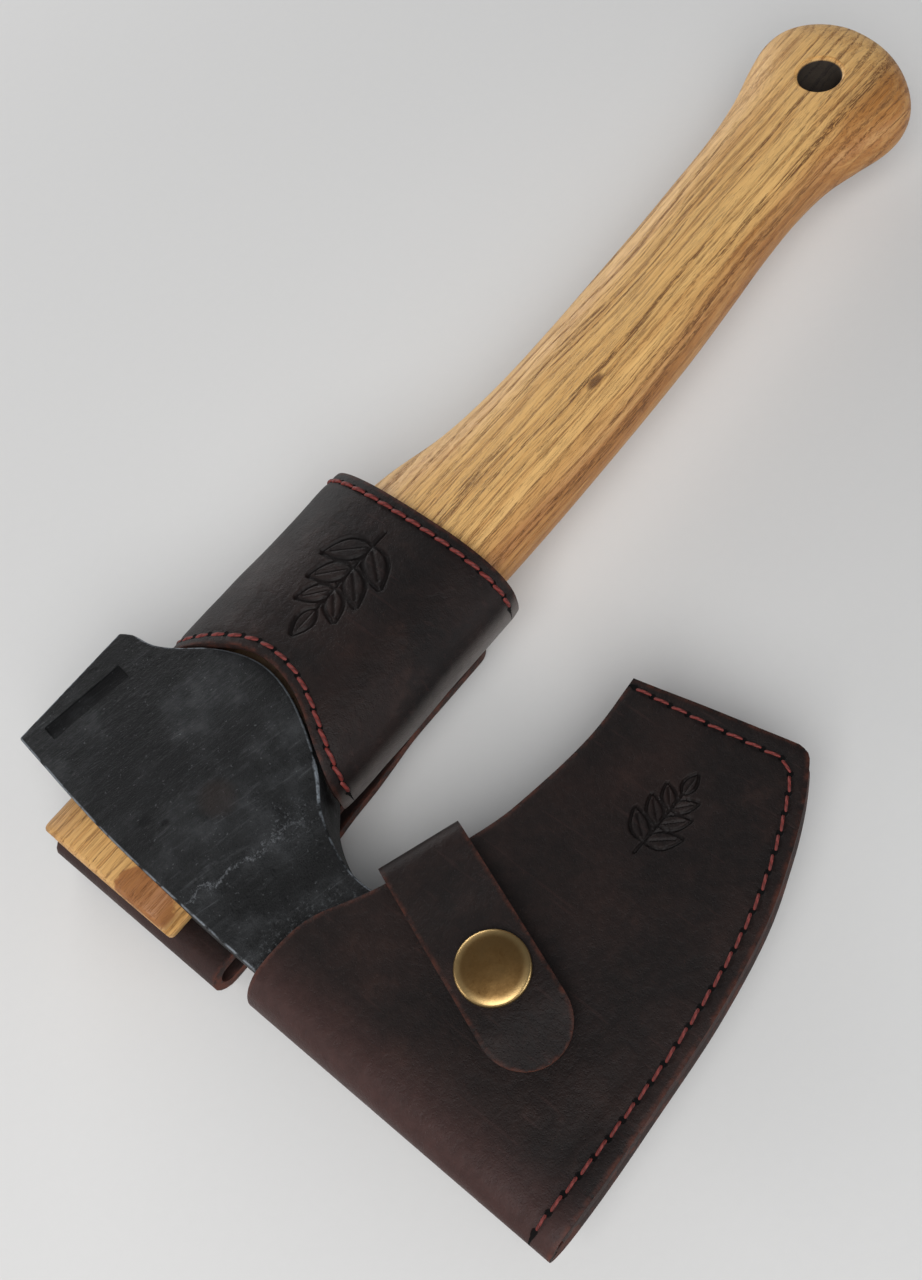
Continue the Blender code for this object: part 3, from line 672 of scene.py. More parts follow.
def oiled_leather(colours, name, pull_up_and_sheen=None, pull_up_and_sheen_tint=None, grey=0.0):
    """Oiled pull-up hide: clouds, pores, specks, rubbed rims, stitch holes and the seam groove painted
    dark as shade, tooling and a tinted fold, which paints pulled-up colour and sheen.
    """
    f = Finish(name, Specular_IOR_Level=0.17)
    cloud = f.noise(0.045, 4.0, 0.6)
    mottle = f.noise(0.42, 5.0, 0.68)
    pores = f.cells(1.9)
    wrinkle = f.noise(1.15, 4.0, 0.7)
    nap = f.noise(5.0, 2.0, 0.6)
    specks = f.noise(2.3, 2.0, 0.5).ramp(0.69, 0.76)
    scratch = f.grain(0.9, 0.055, 0.5, 2.0, 0.5).ramp(0.64, 0.70)
    scuff = f.noise(0.09, 4.0, 0.7).ramp(0.56, 0.74)

    rim = f.mark("rim")
    worn = rim.ramp(1.2, 0.1) * mottle.ramp(0.35, 0.65)
    seam = f.mark("seam")
    stitch = (f.mark("stitch") + 0.5).fraction() - 0.5
    hole_far = (stitch * stitch * 15.0 + seam * seam) ** 0.5
    hole = hole_far.ramp(0.78, 0.5)
    seam_groove_shade = abs(seam).ramp(1.5, 0.2)
    pressed = f.mark("pressed")

    colour = f.mix(cloud.ramp(0.36, 0.68) * 0.6 + mottle.ramp(0.4, 0.75) * 0.35, colours.leather,
                   colours.leather_warm)
    dust = (0.036 - grey * 0.012, 0.0185, 0.0155 + grey * 0.004)
    colour = f.mix(nap.ramp(0.45, 0.8) * 0.22, colour, dust)
    rough = 0.50 + mottle * 0.14 - cloud.ramp(0.4, 0.7) * 0.08
    # Where the hide folds it is tinted with pulled-up colour and a painted sheen.
    if pull_up_and_sheen:
        pull_up_and_sheen_mask = pull_up_and_sheen(f)
        colour = f.mix((pull_up_and_sheen_mask * (0.35 + mottle * 0.9)).clamped(), colour, pull_up_and_sheen_tint)
        rough = rough - pull_up_and_sheen_mask * 0.10
    colour = f.mix(specks * 0.35 + scuff * 0.14, colour, (0.060, 0.030, 0.023))
    colour = f.mix(scratch * 0.10, colour, colours.fold)
    colour = f.mix(worn * 0.30, colour, colours.raw_edge)
    # Painted shade along the seam groove, and darker pressed tooling.
    colour = f.mix(seam_groove_shade * 0.35 + pressed * 0.72, colour, (0.0040, 0.0030, 0.0029))
    # Stitch holes painted near black as shade.
    colour = f.mix(hole * 0.97, colour, (0.0006, 0.0005, 0.0005))
    rough = rough + hole * 0.4 - pressed * 0.07
    relief = f.bump(mottle * 0.8 + cloud, 0.34)
    relief = f.bump(pores.ramp(0.0, 0.42) * 0.55 + wrinkle, 0.085, relief)
    relief = f.bump(nap, 0.022, relief)
    relief = f.bump(1.0 - hole, 0.75, relief)
    return f.paint(Base_Color=colour, Roughness=rough.clamped(), Normal=relief)


def raw_leather(colours, name="cut_leather_edge", burnish=0.72):
    """Cut edge of the hide: fibrous and orange-brown, with burnish saying how much of it is dark."""
    f = Finish(name, Specular_IOR_Level=0.25)
    fibre = f.noise(1.7, 5.0, 0.75)
    patches = f.noise(0.28, 4.0, 0.7)
    colour = f.mix((patches.ramp(0.38, 0.62) * 0.5 + burnish).clamped(), colours.raw_edge,
                   (0.022, 0.0115, 0.0098))
    colour = f.mix(fibre.ramp(0.55, 0.75) * (0.6 - 0.5 * burnish), colour, (0.30, 0.11, 0.055))
    colour = f.mix(fibre.ramp(0.45, 0.3) * 0.6, colour, (0.012, 0.006, 0.005))
    return f.paint(Base_Color=colour, Roughness=0.62 + fibre * 0.2, Normal=f.bump(fibre, 0.22))


def waxed_thread(colours):
    """Red thread whose twist is written on its vertices, with painted shade in the grooves between its
    plies.
    """
    f = Finish("waxed_red_thread", Specular_IOR_Level=0.4)
    twist = f.mark("twist").ramp(-0.9, 0.9)
    fuzz = f.noise(3.0, 4.0, 0.7)
    # Painted shade in the grooves between the plies.
    colour = f.mix(twist.ramp(0.45, 0.0) * 0.75, colours.thread, (0.05, 0.006, 0.005))
    colour = f.mix(fuzz.ramp(0.5, 0.8) * 0.3, colour, (0.27, 0.058, 0.043))
    relief = f.bump(fuzz, 0.05, f.bump(twist, 0.12))
    return f.paint(Base_Color=colour, Roughness=0.5 + fuzz * 0.25, Normal=relief)


def antique_brass(colours):
    """Brass with brown tarnish that is rubbed through on the raised rims."""
    f = Finish("antique_brass_cap", Metallic=1.0)
    cloud = f.noise(0.22, 4.0, 0.62)
    grime = f.noise(1.1, 5.0, 0.72)
    brushed = f.grain(0.5, 3.2, 0.5, 3.0, 0.6)
    polish = f.mark("polish")
    tarnish = (cloud.ramp(0.35, 0.62) * 0.62 + grime.ramp(0.5, 0.72) * 0.4) * (1.0 - polish * 0.75)
    colour = f.mix(tarnish.clamped(), colours.brass, colours.brass_dark)
    colour = f.mix(polish * 0.5, colour, (0.62, 0.44, 0.20))
    rough = 0.30 + tarnish * 0.18 + grime * 0.10
    relief = f.bump(brushed * 0.5 + grime, 0.022)
    return f.paint(Base_Color=colour, Roughness=rough.clamped(), Normal=relief)


def pale_floor():
    """Plain pale paper."""
    f = Finish("pale_paper", Roughness=0.9, Specular_IOR_Level=0.1)
    tooth = f.noise(0.4, 3.0, 0.6)
    return f.paint(Base_Color=f.mix(tooth * 0.5, (0.66, 0.655, 0.645), (0.69, 0.685, 0.675)),
                   Normal=f.bump(tooth, 0.03))


# ---- shared shapes

# (y, half thickness) of the head and of the sheath's pocket, from the cutting edge to the poll
CHEEK = [(-112.4, EDGE_HALF), (-106.0, 0.9), (-95.0, 1.7), (-82.0, 2.5), (-70.0, 3.2), (-60.0, 3.8),
         (-50.0, 4.6), (-43.0, 5.3), (-36.0, 6.6), (-29.0, 8.4), (-22.0, 10.3), (-14.0, 11.9),
         (-6.0, CHEEK_HALF), (8.0, CHEEK_HALF), (POLL_Y, 12.0)]
HEEL_CHEEK = [(-98.6, EDGE_HALF), (-93.0, 0.6), (-85.0, 0.9), (-70.0, 1.1), (-50.0, 1.4)]
POCKET = [(-112.0, 1.5), (-106.0, 2.1), (-95.0, 2.9), (-82.0, 3.65), (-60.0, 4.6), (-43.0, 5.8)]
HEEL_POCKET = [(-112.0, 1.5), (-70.0, 1.6), (-60.0, 1.9)]

# Outlines of the head, as (x, y)
TOP_EDGE = Path([(9.8, 33.5), (8.6, 24.0), (6.9, 10.0), (5.8, -2.0), (5.0, -20.0), (4.6, -42.0),
                 (4.0, -80.0), (3.2, -112.4)])
LOWER_EDGE = Path([(41.0, 33.5), (42.6, 30.4), (43.4, 25.0), (46.0, 19.6), (50.8, 12.4), (53.8, 4.0),
                   (53.8, -4.0), (50.8, -13.0), (44.0, -24.2), (37.0, -31.6), (32.2, -41.5),
                   (31.6, -50.0), (34.0, -57.0), (41.0, -63.6), (54.0, -68.6), (72.0, -70.2),
                   (88.0, -70.2), (91.4, -70.9), (HEEL_X, -74.0), (HEEL_X, -86.0), (HEEL_X, -98.6)])
POLL_EDGE = Path([(9.8, 33.5), (41.0, 33.5)])
BIT_EDGE = Path([(3.2, -112.4), (30.0, -111.8), (52.0, -110.2), (74.0, -106.0), (HEEL_X, -98.6)])

# Outlines and seam of the sheath, as (x, y)
MOUTH_EDGE = Path([(FOLD_X, -43.4), (10.0, -43.0), (19.5, -44.6), (32.3, -51.3), (53.0, -59.3),
                   (66.0, -62.4), (84.0, -64.1), (99.6, -63.3)])
SEWN_EDGE = Path([(FOLD_X, SHEATH_TOE_Y), (14.0, -120.7), (31.0, -120.0), (52.0, -118.8), (72.0, -115.9),
                  (87.0, -111.4), (97.0, -107.4), (104.2, -103.6), (106.3, -101.8), (106.8, -99.4)])
FOLD_EDGE = Path([(FOLD_X, -43.4), (FOLD_X, SHEATH_TOE_Y)])
HEEL_EDGE = Path([(99.6, -63.3), (103.4, -81.5), (106.8, -99.4)])
SHEATH_SEAM = Path([(98.0, -64.9), (99.5, -78.6), (101.2, -90.7), (102.3, -98.6), (102.0, -100.5),
                    (100.2, -101.8), (95.5, -104.4), (87.2, -107.9), (78.9, -110.7), (71.1, -112.6),
                    (62.1, -114.2), (53.5, -115.2), (44.7, -116.0), (35.9, -116.4), (18.5, -116.4),
                    (1.4, -115.8)])


def heel_share(x):
    """0 along the blade's spine side, 1 at its heel."""
    return min(1.0, max(0.0, (x - 35.0) / (HEEL_X - 35.0)))


def blade_half(x, y):
    """Half the head's thickness."""
    share = heel_share(x) * ease(y, -42.0, -50.0)
    full = read(CHEEK, y)
    return full * (1 - share) + min(full, read(HEEL_CHEEK, y)) * share


def pocket_half(x, y):
    """Half the space inside the sheath."""
    share = heel_share(x)
    full = read(POCKET, y)
    return full * (1 - share) + min(full, read(HEEL_POCKET, y)) * share


def sheath_half(x, y):
    """Half the sheath's outer thickness, round along its fold."""
    fold = min(1.0, max(0.0, (x - FOLD_X) / FOLD_ROUND))
    return (pocket_half(x, y) + LEATHER) * math.sqrt(1 - (1 - fold) ** 2)


def strap_axes():
    """Directions along the strap and across it."""
    c, s = math.cos(STRAP_TURN), math.sin(STRAP_TURN)
    return Vector((-s, -c, 0)), Vector((c, -s, 0))


def on_strap(reach, across=0.0, z=0.0):
    """Datum point at a distance along the strap from its fold."""
    along, side = strap_axes()
    return Vector((*STRAP_FOLD, z)) + along * reach + side * across


def sheath_level(reach, side=0.0):
    """Sheath's outer half thickness under the strap, side away from its middle line."""
    point = on_strap(reach, side)
    return sheath_half(point.x, point.y)


def strap_seat(reach):
    """Highest level of the sheath across the whole width of the strap."""
    return max(sheath_level(reach, side) for side in (-STRAP_HALF_WIDTH, 0.0, STRAP_HALF_WIDTH))


def sprig(u, v, size):
    """How far a tooled sprig is pressed in at (u, v): a stem with pairs of leaves, size long."""
    u, v = u / size + 0.5, v / size
    line = 0.019
    depth = 1 - ease(math.hypot(max(0.0, -u, u - 0.74), v), line * 0.5, line * 1.3)
    leaves = ((0.14, 0.38, 50), (0.35, 0.34, 46), (0.55, 0.29, 42), (0.74, 0.27, 0))
    for root, length, lean in leaves:
        turn = math.radians(lean)
        for side in (1, -1):
            du, dv = u - root, v * side
            along = (du * math.cos(turn) + dv * math.sin(turn)) / length
            off = (dv * math.cos(turn) - du * math.sin(turn)) / length
            if not 0 < along < 1:
                continue
            belly = 0.24 * math.sin(math.pi * along ** 0.8)
            gap = abs(abs(off) - belly) * length
            vein = abs(off) * length if along < 0.8 else 1.0
            depth = max(depth, 1 - ease(gap, line * 0.5, line * 1.3), 0.6 - 0.6 * ease(vein, 0.002, line))
    return depth


# ---- sewing

STITCH_SLANT = 0.20           # sideways lean of a stitch's ends, in millimetres

def stitch_shape(radius):
    """One stitch of two-ply thread, a unit long along X, that dips into its holes at both ends."""
    arch = [(0.06, -1.1), (0.11, -0.35), (0.20, 0.06), (0.36, 0.22), (0.5, 0.25), (0.64, 0.22),
            (0.80, 0.06), (0.89, -0.35), (0.94, -1.1)]
    pitch, sides = 4.2, 10
    sections = []
    for i, (x, z) in enumerate(arch):
        before, after = arch[max(i - 1, 0)], arch[min(i + 1, len(arch) - 1)]
        run = Vector(((after[0] - before[0]) * pitch, after[1] - before[1])).normalized()
        ring = []
        for k in range(sides):
            a = 2 * math.pi * k / sides
            lift = math.cos(a) * radius
            ring.append((x - run.y * lift / pitch, math.sin(a) * radius, z + run.x * lift))
        sections.append(ring)
    bm = sweep(sections)
    twist = bm.verts.layers.float.new("twist")
    for vert in bm.verts:
        angle = math.atan2(vert.co.y, vert.co.z - 0.2)
        vert[twist] = math.sin(2 * angle + vert.co.x * 26.0)
    mesh = bpy.data.meshes.new("stitch")
    bmesh.ops.recalc_face_normals(bm, faces=bm.faces[:])
    bm.to_mesh(mesh)
    bm.free()
    return mesh


def real_pitch(path, sizes):
    """Stitch pitch at which a whole number of stitches fits on a path."""
    return path.length / max(1, round(path.length / (sizes.stitch_pitch / MM)))


def box_seam(low, high, count):
    """Rectangle of stitches between two corners, with count steps to a side."""
    corners = [low, (high[0], low[1]), high, (low[0], high[1]), low]
    points = [(x0 + (x1 - x0) * i / count, y0 + (y1 - y0) * i / count)
              for (x0, y0), (x1, y1) in zip(corners, corners[1:]) for i in range(count)]
    return Path(points + [low], 1)


def sew(name, path, place, outward, colours, body, node, sizes, thin=1.0):
    """Piece of stitches along a path; place(flat) gives the surface point of a flat one."""
    shape = stitch_shape(sizes.thread_radius / MM * thin)
    pitch = real_pitch(path, sizes)
    nudge_x, nudge_y = Vector((0.3, 0, 0)), Vector((0, 0.3, 0))
    bm = bmesh.new()
    for i in range(round(path.length / pitch)):
        start, stop = path.at(i * pitch), path.at((i + 1) * pitch)
        root, middle = place(start), (start + stop) / 2
        run_x = place(middle + nudge_x) - place(middle - nudge_x)
        run_y = place(middle + nudge_y) - place(middle - nudge_y)
        normal = run_x.cross(run_y).normalized()
        if normal.dot(outward(place(middle))) < 0:
            normal.negate()
        along = place(stop) - root
        side = normal.cross(along).normalized()
        turn = Matrix((along, side, along.cross(side).normalized())).transposed()
        known = len(bm.verts)
        bm.from_mesh(shape)
        bm.verts.ensure_lookup_table()
        for vert in bm.verts[known:]:
            lean = (vert.co.x - 0.5) * 2 * STITCH_SLANT
            vert.co = root + turn @ (vert.co + Vector((0, lean, 0)))
    bpy.data.meshes.remove(shape)
    return hand_over(add_piece(name, bm, [waxed_thread(colours)]), body, "red_thread", node)


# ---- the axe

def build_head(sizes, colours):
    ripple = sizes.forge_ripple / MM

    def place(s, t):
        spot = patch(TOP_EDGE, LOWER_EDGE, POLL_EDGE, BIT_EDGE, s, t)
        thick = blade_half(spot.x, spot.y)
        calm = min(1.0, thick / 6) * min(1.0, min(s, 1 - s) * 20)
        wave = noise.noise(Vector((spot.x, spot.y, 3.1)) / 13) * ripple
        wave += noise.noise(Vector((spot.x, spot.y, 7.7)) / 4.5) * ripple * 0.3
        return Vector((spot.x, spot.y, thick + wave * calm))

    bm = lay_grid(steps(118, 0.009), steps(50, 0.03), place)
    made = bmesh.ops.extrude_face_region(bm, geom=bm.faces[:])["geom"]
    for vert in (v for v in made if isinstance(v, bmesh.types.BMVert)):
        vert.co.z = -vert.co.z
    bmesh.ops.recalc_face_normals(bm, faces=bm.faces[:])
    sharp, thinnest, soften, sheathed_y = math.radians(55), 1.4, 0.55, -60
    rims = [e for e in bm.edges if len(e.link_faces) == 2 and e.calc_face_angle() > sharp
            and min(abs(v.co.z) for v in e.verts) > thinnest]
    bmesh.ops.bevel(bm, geom=rims, offset=soften, segments=3, affect="EDGES", profile=0.5, material=-1,
                    clamp_overlap=True)
    bm.normal_update()
    bm.verts.index_update()
    # Bevel faces outside the sheath get the rim mark, which the steel finish paints as rubbed steel with
    # a painted highlight.
    rubbed = {v.index for f in bm.faces if 0.5 < abs(f.normal.z) < 0.9 for v in f.verts
              if v.co.y > sheathed_y}
    mark(bm, rim=lambda v: float(v.index in rubbed), stamp=lambda v: 0.0)
    head = add_piece("forged_head", bm, [forged_steel(colours)], angle=30)

    eye = [(y * EYE_HALF_Y, z * EYE_HALF_Z) for y, z in full_oval(72, TENON_POWER)]
    above, below = -10.0, 70.0
    carve(head, sweep([[(x, y, z) for y, z in eye] for x in (above, below)]))
    carve(head, stamp_cutter())
    mark_stamp(head)
    shade(head.data, 30)
    hand_over(head, "axe", "forged_steel", "axe_head")


STAMP_MIDDLE = Vector((24.8, 27.0, 12.2))
STAMP_SIZE = (20.8, 4.1)
STAMP_DEPTH = 0.7
STAMP_LEAN = math.radians(-7.7)


def stamp_cutter():
    """Block that leaves a shallow blank recess with soft corners in the cheek near the poll."""
    bm = bmesh.new()
    bmesh.ops.create_cube(bm, size=1.0)
    bmesh.ops.scale(bm, vec=(*STAMP_SIZE, 4.0), verts=bm.verts[:])
    bmesh.ops.bevel(bm, geom=bm.edges[:], offset=0.35, segments=2, affect="EDGES", profile=0.5,
                    material=-1)
    lift = STAMP_MIDDLE + Vector((0, 0, 2.0 - STAMP_DEPTH))
    place = Matrix.Translation(lift) @ Matrix.Rotation(STAMP_LEAN, 4, "Z")
    bmesh.ops.transform(bm, matrix=place, verts=bm.verts[:])
    return bm


def mark_stamp(head):
    """Write which of the head's vertices lie on the floor of the recess."""
    layer = head.data.attributes["stamp"].data
    for vert in head.data.vertices:
        spot = (vert.co - DATUM) / MM - STAMP_MIDDLE
        inside = abs(spot.x) < STAMP_SIZE[0] * 0.55 and abs(spot.y) < STAMP_SIZE[1] * 1.1
        deep = inside and -STAMP_DEPTH - 0.1 < spot.z < -0.25
        if deep:
            layer[vert.index].value = 1.0


def handle_sections():
    """Rings of the handle from the tenon's end to the butt, from the poll and bit sides' outline."""
    tenon = [(TENON_END_X, 18.3, 7.8), (TENON_END_X + 0.5, 18.8, 8.3), (TENON_END_X + 1.5, 19.0, 8.5)]
    tenon += [(x, 19.0, 8.5) for x in (4.0, 12.0, 28.0, 44.0, 54.5)]
    # (x, y) of the poll side, (x, y) of the bit side, half thickness
    stations = [(x, y, x, -y, z) for x, y, z in tenon] + [
        (61.0, 18.6, 61.0, -20.6, 10.4), (80.0, 17.9, 80.0, -22.3, 11.4),
        (105.0, 16.5, 105.0, -22.9, 11.6), (124.0, 11.9, 124.0, -22.9, 11.4),
        (141.0, 10.2, 141.0, -22.6, 11.2), (160.0, 10.1, 160.0, -22.1, 11.0),
        (178.0, 10.6, 177.0, -21.3, 11.0), (196.0, 11.2, 194.0, -19.9, 10.9),
        (213.0, 12.1, 210.0, -18.4, 10.8), (229.0, 13.1, 224.0, -17.8, 10.9),
        (243.0, 15.3, 236.0, -18.7, 11.2), (254.0, 18.4, 245.5, -21.4, 11.7),
        (262.5, 20.1, 253.0, -23.9, 11.8), (268.6, 19.2, 259.5, -24.3, 11.5),
        (273.4, 15.6, 265.8, -22.2, 10.2), (276.4, 10.0, 271.4, -17.0, 8.2),
        (277.6, 3.6, 275.2, -10.6, 5.2), (BUTT_X, 0.0, 276.6, -6.4, 3.0),
    ]
    sides, rings = 72, []
    for poll_x, poll_y, bit_x, bit_y, half_z in smooth(stations, 6):
        middle = Vector((poll_x + bit_x, poll_y + bit_y)) / 2
        side = Vector((poll_x - bit_x, poll_y - bit_y)) / 2
        power = GRIP_POWER + (TENON_POWER - GRIP_POWER) * (1 - ease(middle.x, 54.0, 70.0))
        rings.append([(middle.x + side.x * c, middle.y + side.y * c, half_z * s)
                      for c, s in full_oval(sides, power)])
    return rings


def ring_groove(grow):
    """Groove that the steel ring sits in, open at the tenon's end and wider than the ring by grow."""
    outer, inner = RING_R + grow, RING_R - RING_WALL - grow
    sunk = TENON_END_X + 0.4
    near, far = sunk - 8.0, sunk + RING_DEPTH + grow
    bm = turned([(inner, near), (outer, near), (outer, far), (inner, far)], 40)
    bmesh.ops.rotate(bm, verts=bm.verts[:], cent=(0, 0, 0), matrix=Matrix.Rotation(math.pi / 2, 3, "Y"))
    return bm


def build_handle(sizes, colours):
    bm = sweep(handle_sections())
    mark(bm, bore_shade=lambda v: 0.0)
    handle = add_piece("ash_handle", bm, [ash_wood(colours)])
    reach, lip, rim_z = 30.0, 0.9, 11.2
    side = [(HANG_HOLE_R + lip * (1 - math.cos(a)), rim_z - lip + lip * math.sin(a))
            for a in (math.pi / 8 * i for i in range(5))]
    side += [(HANG_HOLE_R + lip, reach), (0.0, reach)]
    hole = turned([(r, -z) for r, z in reversed(side)] + side, 56)
    bmesh.ops.translate(hole, verts=hole.verts[:], vec=(*HANG_HOLE, 0.0))
    carve(handle, hole)

    kerf_mouth, kerf_root = 1.75, 0.8
    end = TENON_END_X + KERF_DEPTH
    kerf = [(TENON_END_X - 2, kerf_mouth), (end, kerf_root), (end, -kerf_root),
            (TENON_END_X - 2, -kerf_mouth)]
    carve(handle, sweep([[(x, y, z) for x, z in kerf] for y in (-1.25 * EYE_HALF_Y, 1.25 * EYE_HALF_Y)]))
    carve(handle, ring_groove(GAP))

    # Mark the hanging hole's wall, which the wood finish paints dark as shade.
    layer = handle.data.attributes["bore_shade"].data
    for vert in handle.data.vertices:
        spot = (vert.co - DATUM) / MM
        layer[vert.index].value = float(math.dist(spot.xy, HANG_HOLE) < HANG_HOLE_R + 0.25)
    shade(handle.data, 35)
    hand_over(handle, "axe", "ash_wood", "handle")


def build_wedges(sizes, colours):
    for node, finish in (("eye_wedge", wedge_wood(colours)), ("steel_ring_wedge", wedge_steel())):
        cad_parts[node].material_slots[0].material = finish


# ---- the blade sheath

def sheath_place(s, t):
    """Spot on the sheath's outer face: s runs from the back's heel round the fold to the front's."""
    spot = patch(MOUTH_EDGE, SEWN_EDGE, FOLD_EDGE, HEEL_EDGE, abs(s), t)
    spot.x = max(spot.x, FOLD_X)
    return math.copysign(1.0, s), spot


def build_sheath(sizes, colours):
    round_steps = 9
    fold_span = FOLD_ROUND / MOUTH_EDGE.length
    near_fold = [fold_span * (1 - math.cos(math.pi / 2 * i / round_steps)) for i in range(round_steps)]
    rest = [fold_span + (1 - fold_span) * t for t in steps(84)]
    rest[-1:] = [1 - 0.008, 1.0]
    shares = near_fold + rest
    across = [-s for s in reversed(shares[1:])] + shares
    pitch = real_pitch(SHEATH_SEAM, sizes)
    outline = [MOUTH_EDGE, SEWN_EDGE, HEEL_EDGE]
    notes = {}

    def note(point):
        """(stitch, seam, rim) at a spot, worked out once for both faces."""
        key = spot_key(point.xy)
        if key not in notes:
            flat = Vector((point.x, point.y, 0.0))
            along, off = SHEATH_SEAM.near(flat)
            notes[key] = (along / pitch, off, min(abs(path.near(flat)[1]) for path in outline))
        return notes[key]

    def place(s, t):
        side, spot = sheath_place(s, t)
        _, off, rim = note(spot)
        wave = noise.noise(Vector((spot.x, spot.y, side * 20.0)) / 24) * 0.45 * ease(abs(off), 2.0, 16.0)
        wave += noise.noise(Vector((spot.x, spot.y, side * 9.0)) / 9) * 0.10
        wave -= 0.28 * math.exp(-(off / 1.2) ** 2) + 0.30 * (1 - ease(rim, 0.0, 1.6))
        half = sheath_half(spot.x, spot.y)
        return Vector((spot.x, spot.y, side * max(0.0, half + wave * ease(half, 0.0, 3.0))))

    bm = lay_grid(across, steps(68, 0.012), place)
    bmesh.ops.remove_doubles(bm, verts=bm.verts[:], dist=0.0005)
    face_outwards(bm, (60.0, -85.0, 0.0))

    middle_x, middle_y, size = 79.5, -87.0, 21.0
    press_sprig(bm, lambda v: (v.co.x - middle_x, v.co.y - middle_y, v.co.z > 0), size, sizes)

    mark(bm, stitch=lambda v: note(v.co)[0], seam=lambda v: note(v.co)[1], rim=lambda v: note(v.co)[2])
    # The sheath is tinted reddish towards its fold: pulled-up colour with a painted sheen.
    hide = oiled_leather(colours, "sheath_hide", lambda f: f.x.ramp(15.0, -1.0) * 0.85, colours.fold)
    shell = add_piece("sheath_shell_leather", bm, [hide, raw_leather(colours)], closed=False)
    thicken(shell, LEATHER, -1.0)
    hand_over(shell, "sheath", "sheath_leather", "sheath_shell")

    build_welt(colours)
    for side, name, node in ((1, "front_seam_stitches", "sheath_front_thread"),
                             (-1, "back_seam_stitches", "sheath_back_thread")):
        outward = Vector((0, 0, side))

        def sunk(flat):
            return Vector((flat.x, flat.y, side * (sheath_half(flat.x, flat.y) - 0.25)))

        sew(name, SHEATH_SEAM, sunk, lambda point: outward, colours, "sheath", node, sizes, thin=0.70)


def press_sprig(bm, flat, size, sizes):
    """Refine the leather round a tooled sprig and press it in; flat(vert) is (u, v, on the front)."""
    def close(vert, reach):
        u, v, front = flat(vert)
        return front and math.hypot(u, v) < reach

    fine = [e for e in bm.edges if all(close(v, size * 0.62) for v in e.verts)]
    bmesh.ops.subdivide_edges(bm, edges=fine, cuts=3, use_grid_fill=True)
    bm.normal_update()
    layer = bm.verts.layers.float.get("pressed") or bm.verts.layers.float.new("pressed")
    moves = []
    for vert in bm.verts:
        if close(vert, size * 0.66):
            u, v, _ = flat(vert)
            vert[layer] = sprig(u, v, size)
            moves.append((vert, vert.normal * (-vert[layer] * sizes.tooling_depth / MM)))
    for vert, move in moves:
        vert.co += move


def build_welt(colours):
    """Middle layer of leather that the two sides are sewn to."""
    outer = Path(HEEL_EDGE.points[::3] + list(reversed(SEWN_EDGE.points[:-4:3])), 2)
    first, covered, step, setback = 0.006, 0.965, 0.004, 0.35

    def place(s, t):
        share = first + covered * s
        spot = outer.share(share)
        run = (outer.share(min(1.0, share + step)) - spot).normalized()
        return spot + Vector((run.y, -run.x, 0.0)) * (setback + (WELT_WIDTH - setback) * t)

    bm = lay_grid(steps(120), steps(6), place)
    bmesh.ops.remove_doubles(bm, verts=bm.verts[:], dist=0.0005)
    mark(bm, rim=lambda v: FAR, seam=lambda v: FAR, stitch=lambda v: 0.0, pressed=lambda v: 0.0)
    raw = raw_leather(colours, "welt_leather_edge")
    welt = add_piece("sheath_welt_leather", bm, [raw, raw], closed=False)
    thicken(welt, WELT_THICK, 0.0, 0.2)
    hand_over(welt, "sheath", "sheath_leather", "sheath_welt")


# ---- the strap and its snap

def strap_path():
    """Middle line of the strap as (reach, z), from its tail behind the sheath to its tip in front."""
    half = STRAP_THICK / 2
    under = STRAP_GAP + half
    tail = [(STRAP_TAIL, -strap_seat(STRAP_TAIL) - under), (18.0, -strap_seat(18.0) - under),
            (12.0, -strap_seat(12.0) - under)]
    edge = strap_seat(4.0) + under
    corner = 3.2
    turn_low = [(corner + corner * math.cos(a) - 0.4, -edge + corner + corner * math.sin(a))
                for a in (math.radians(270 - 22.5 * i) for i in range(5))]
    turn_high = [(x, -z) for x, z in reversed(turn_low)]
    level = sheath_level(SNAP_REACH) + SNAP_STACK + half
    slope = (sheath_level(SNAP_REACH - 8) - sheath_level(SNAP_REACH + 8)) / 16
    front = [(12.0, edge + 0.6)] + [(SNAP_REACH + d, level - d * slope) for d in (-9, 0, 9)]
    front += [(reach, strap_seat(reach) + lift + half) for reach, lift in ((STRAP_REACH - 5, 2.0),
                                                                          (STRAP_REACH, 1.2))]
    return Path(tail + turn_low + turn_high + front, 5)


def strip_half(distance, length, half, start_round, end_round):
    """Half width of a strip at a distance along it, with rounded ends."""
    for reach, corner in ((distance, start_round), (length - distance, end_round)):
        if reach < corner:
            half = half - corner + math.sqrt(max(0.0, corner ** 2 - (corner - reach) ** 2))
    return max(0.0, half)


def strip_steps(length, count, start_round, end_round):
    """Distances along a strip that crowd together towards its rounded ends."""
    turn = 9
    start = [start_round * (1 - math.cos(math.pi / 2 * i / turn)) for i in range(turn)]
    stop = [length - end_round * (1 - math.cos(math.pi / 2 * i / turn)) for i in range(turn)]
    span = length - start_round - end_round
    return start + [start_round + span * i / count for i in range(count + 1)] + stop[::-1]


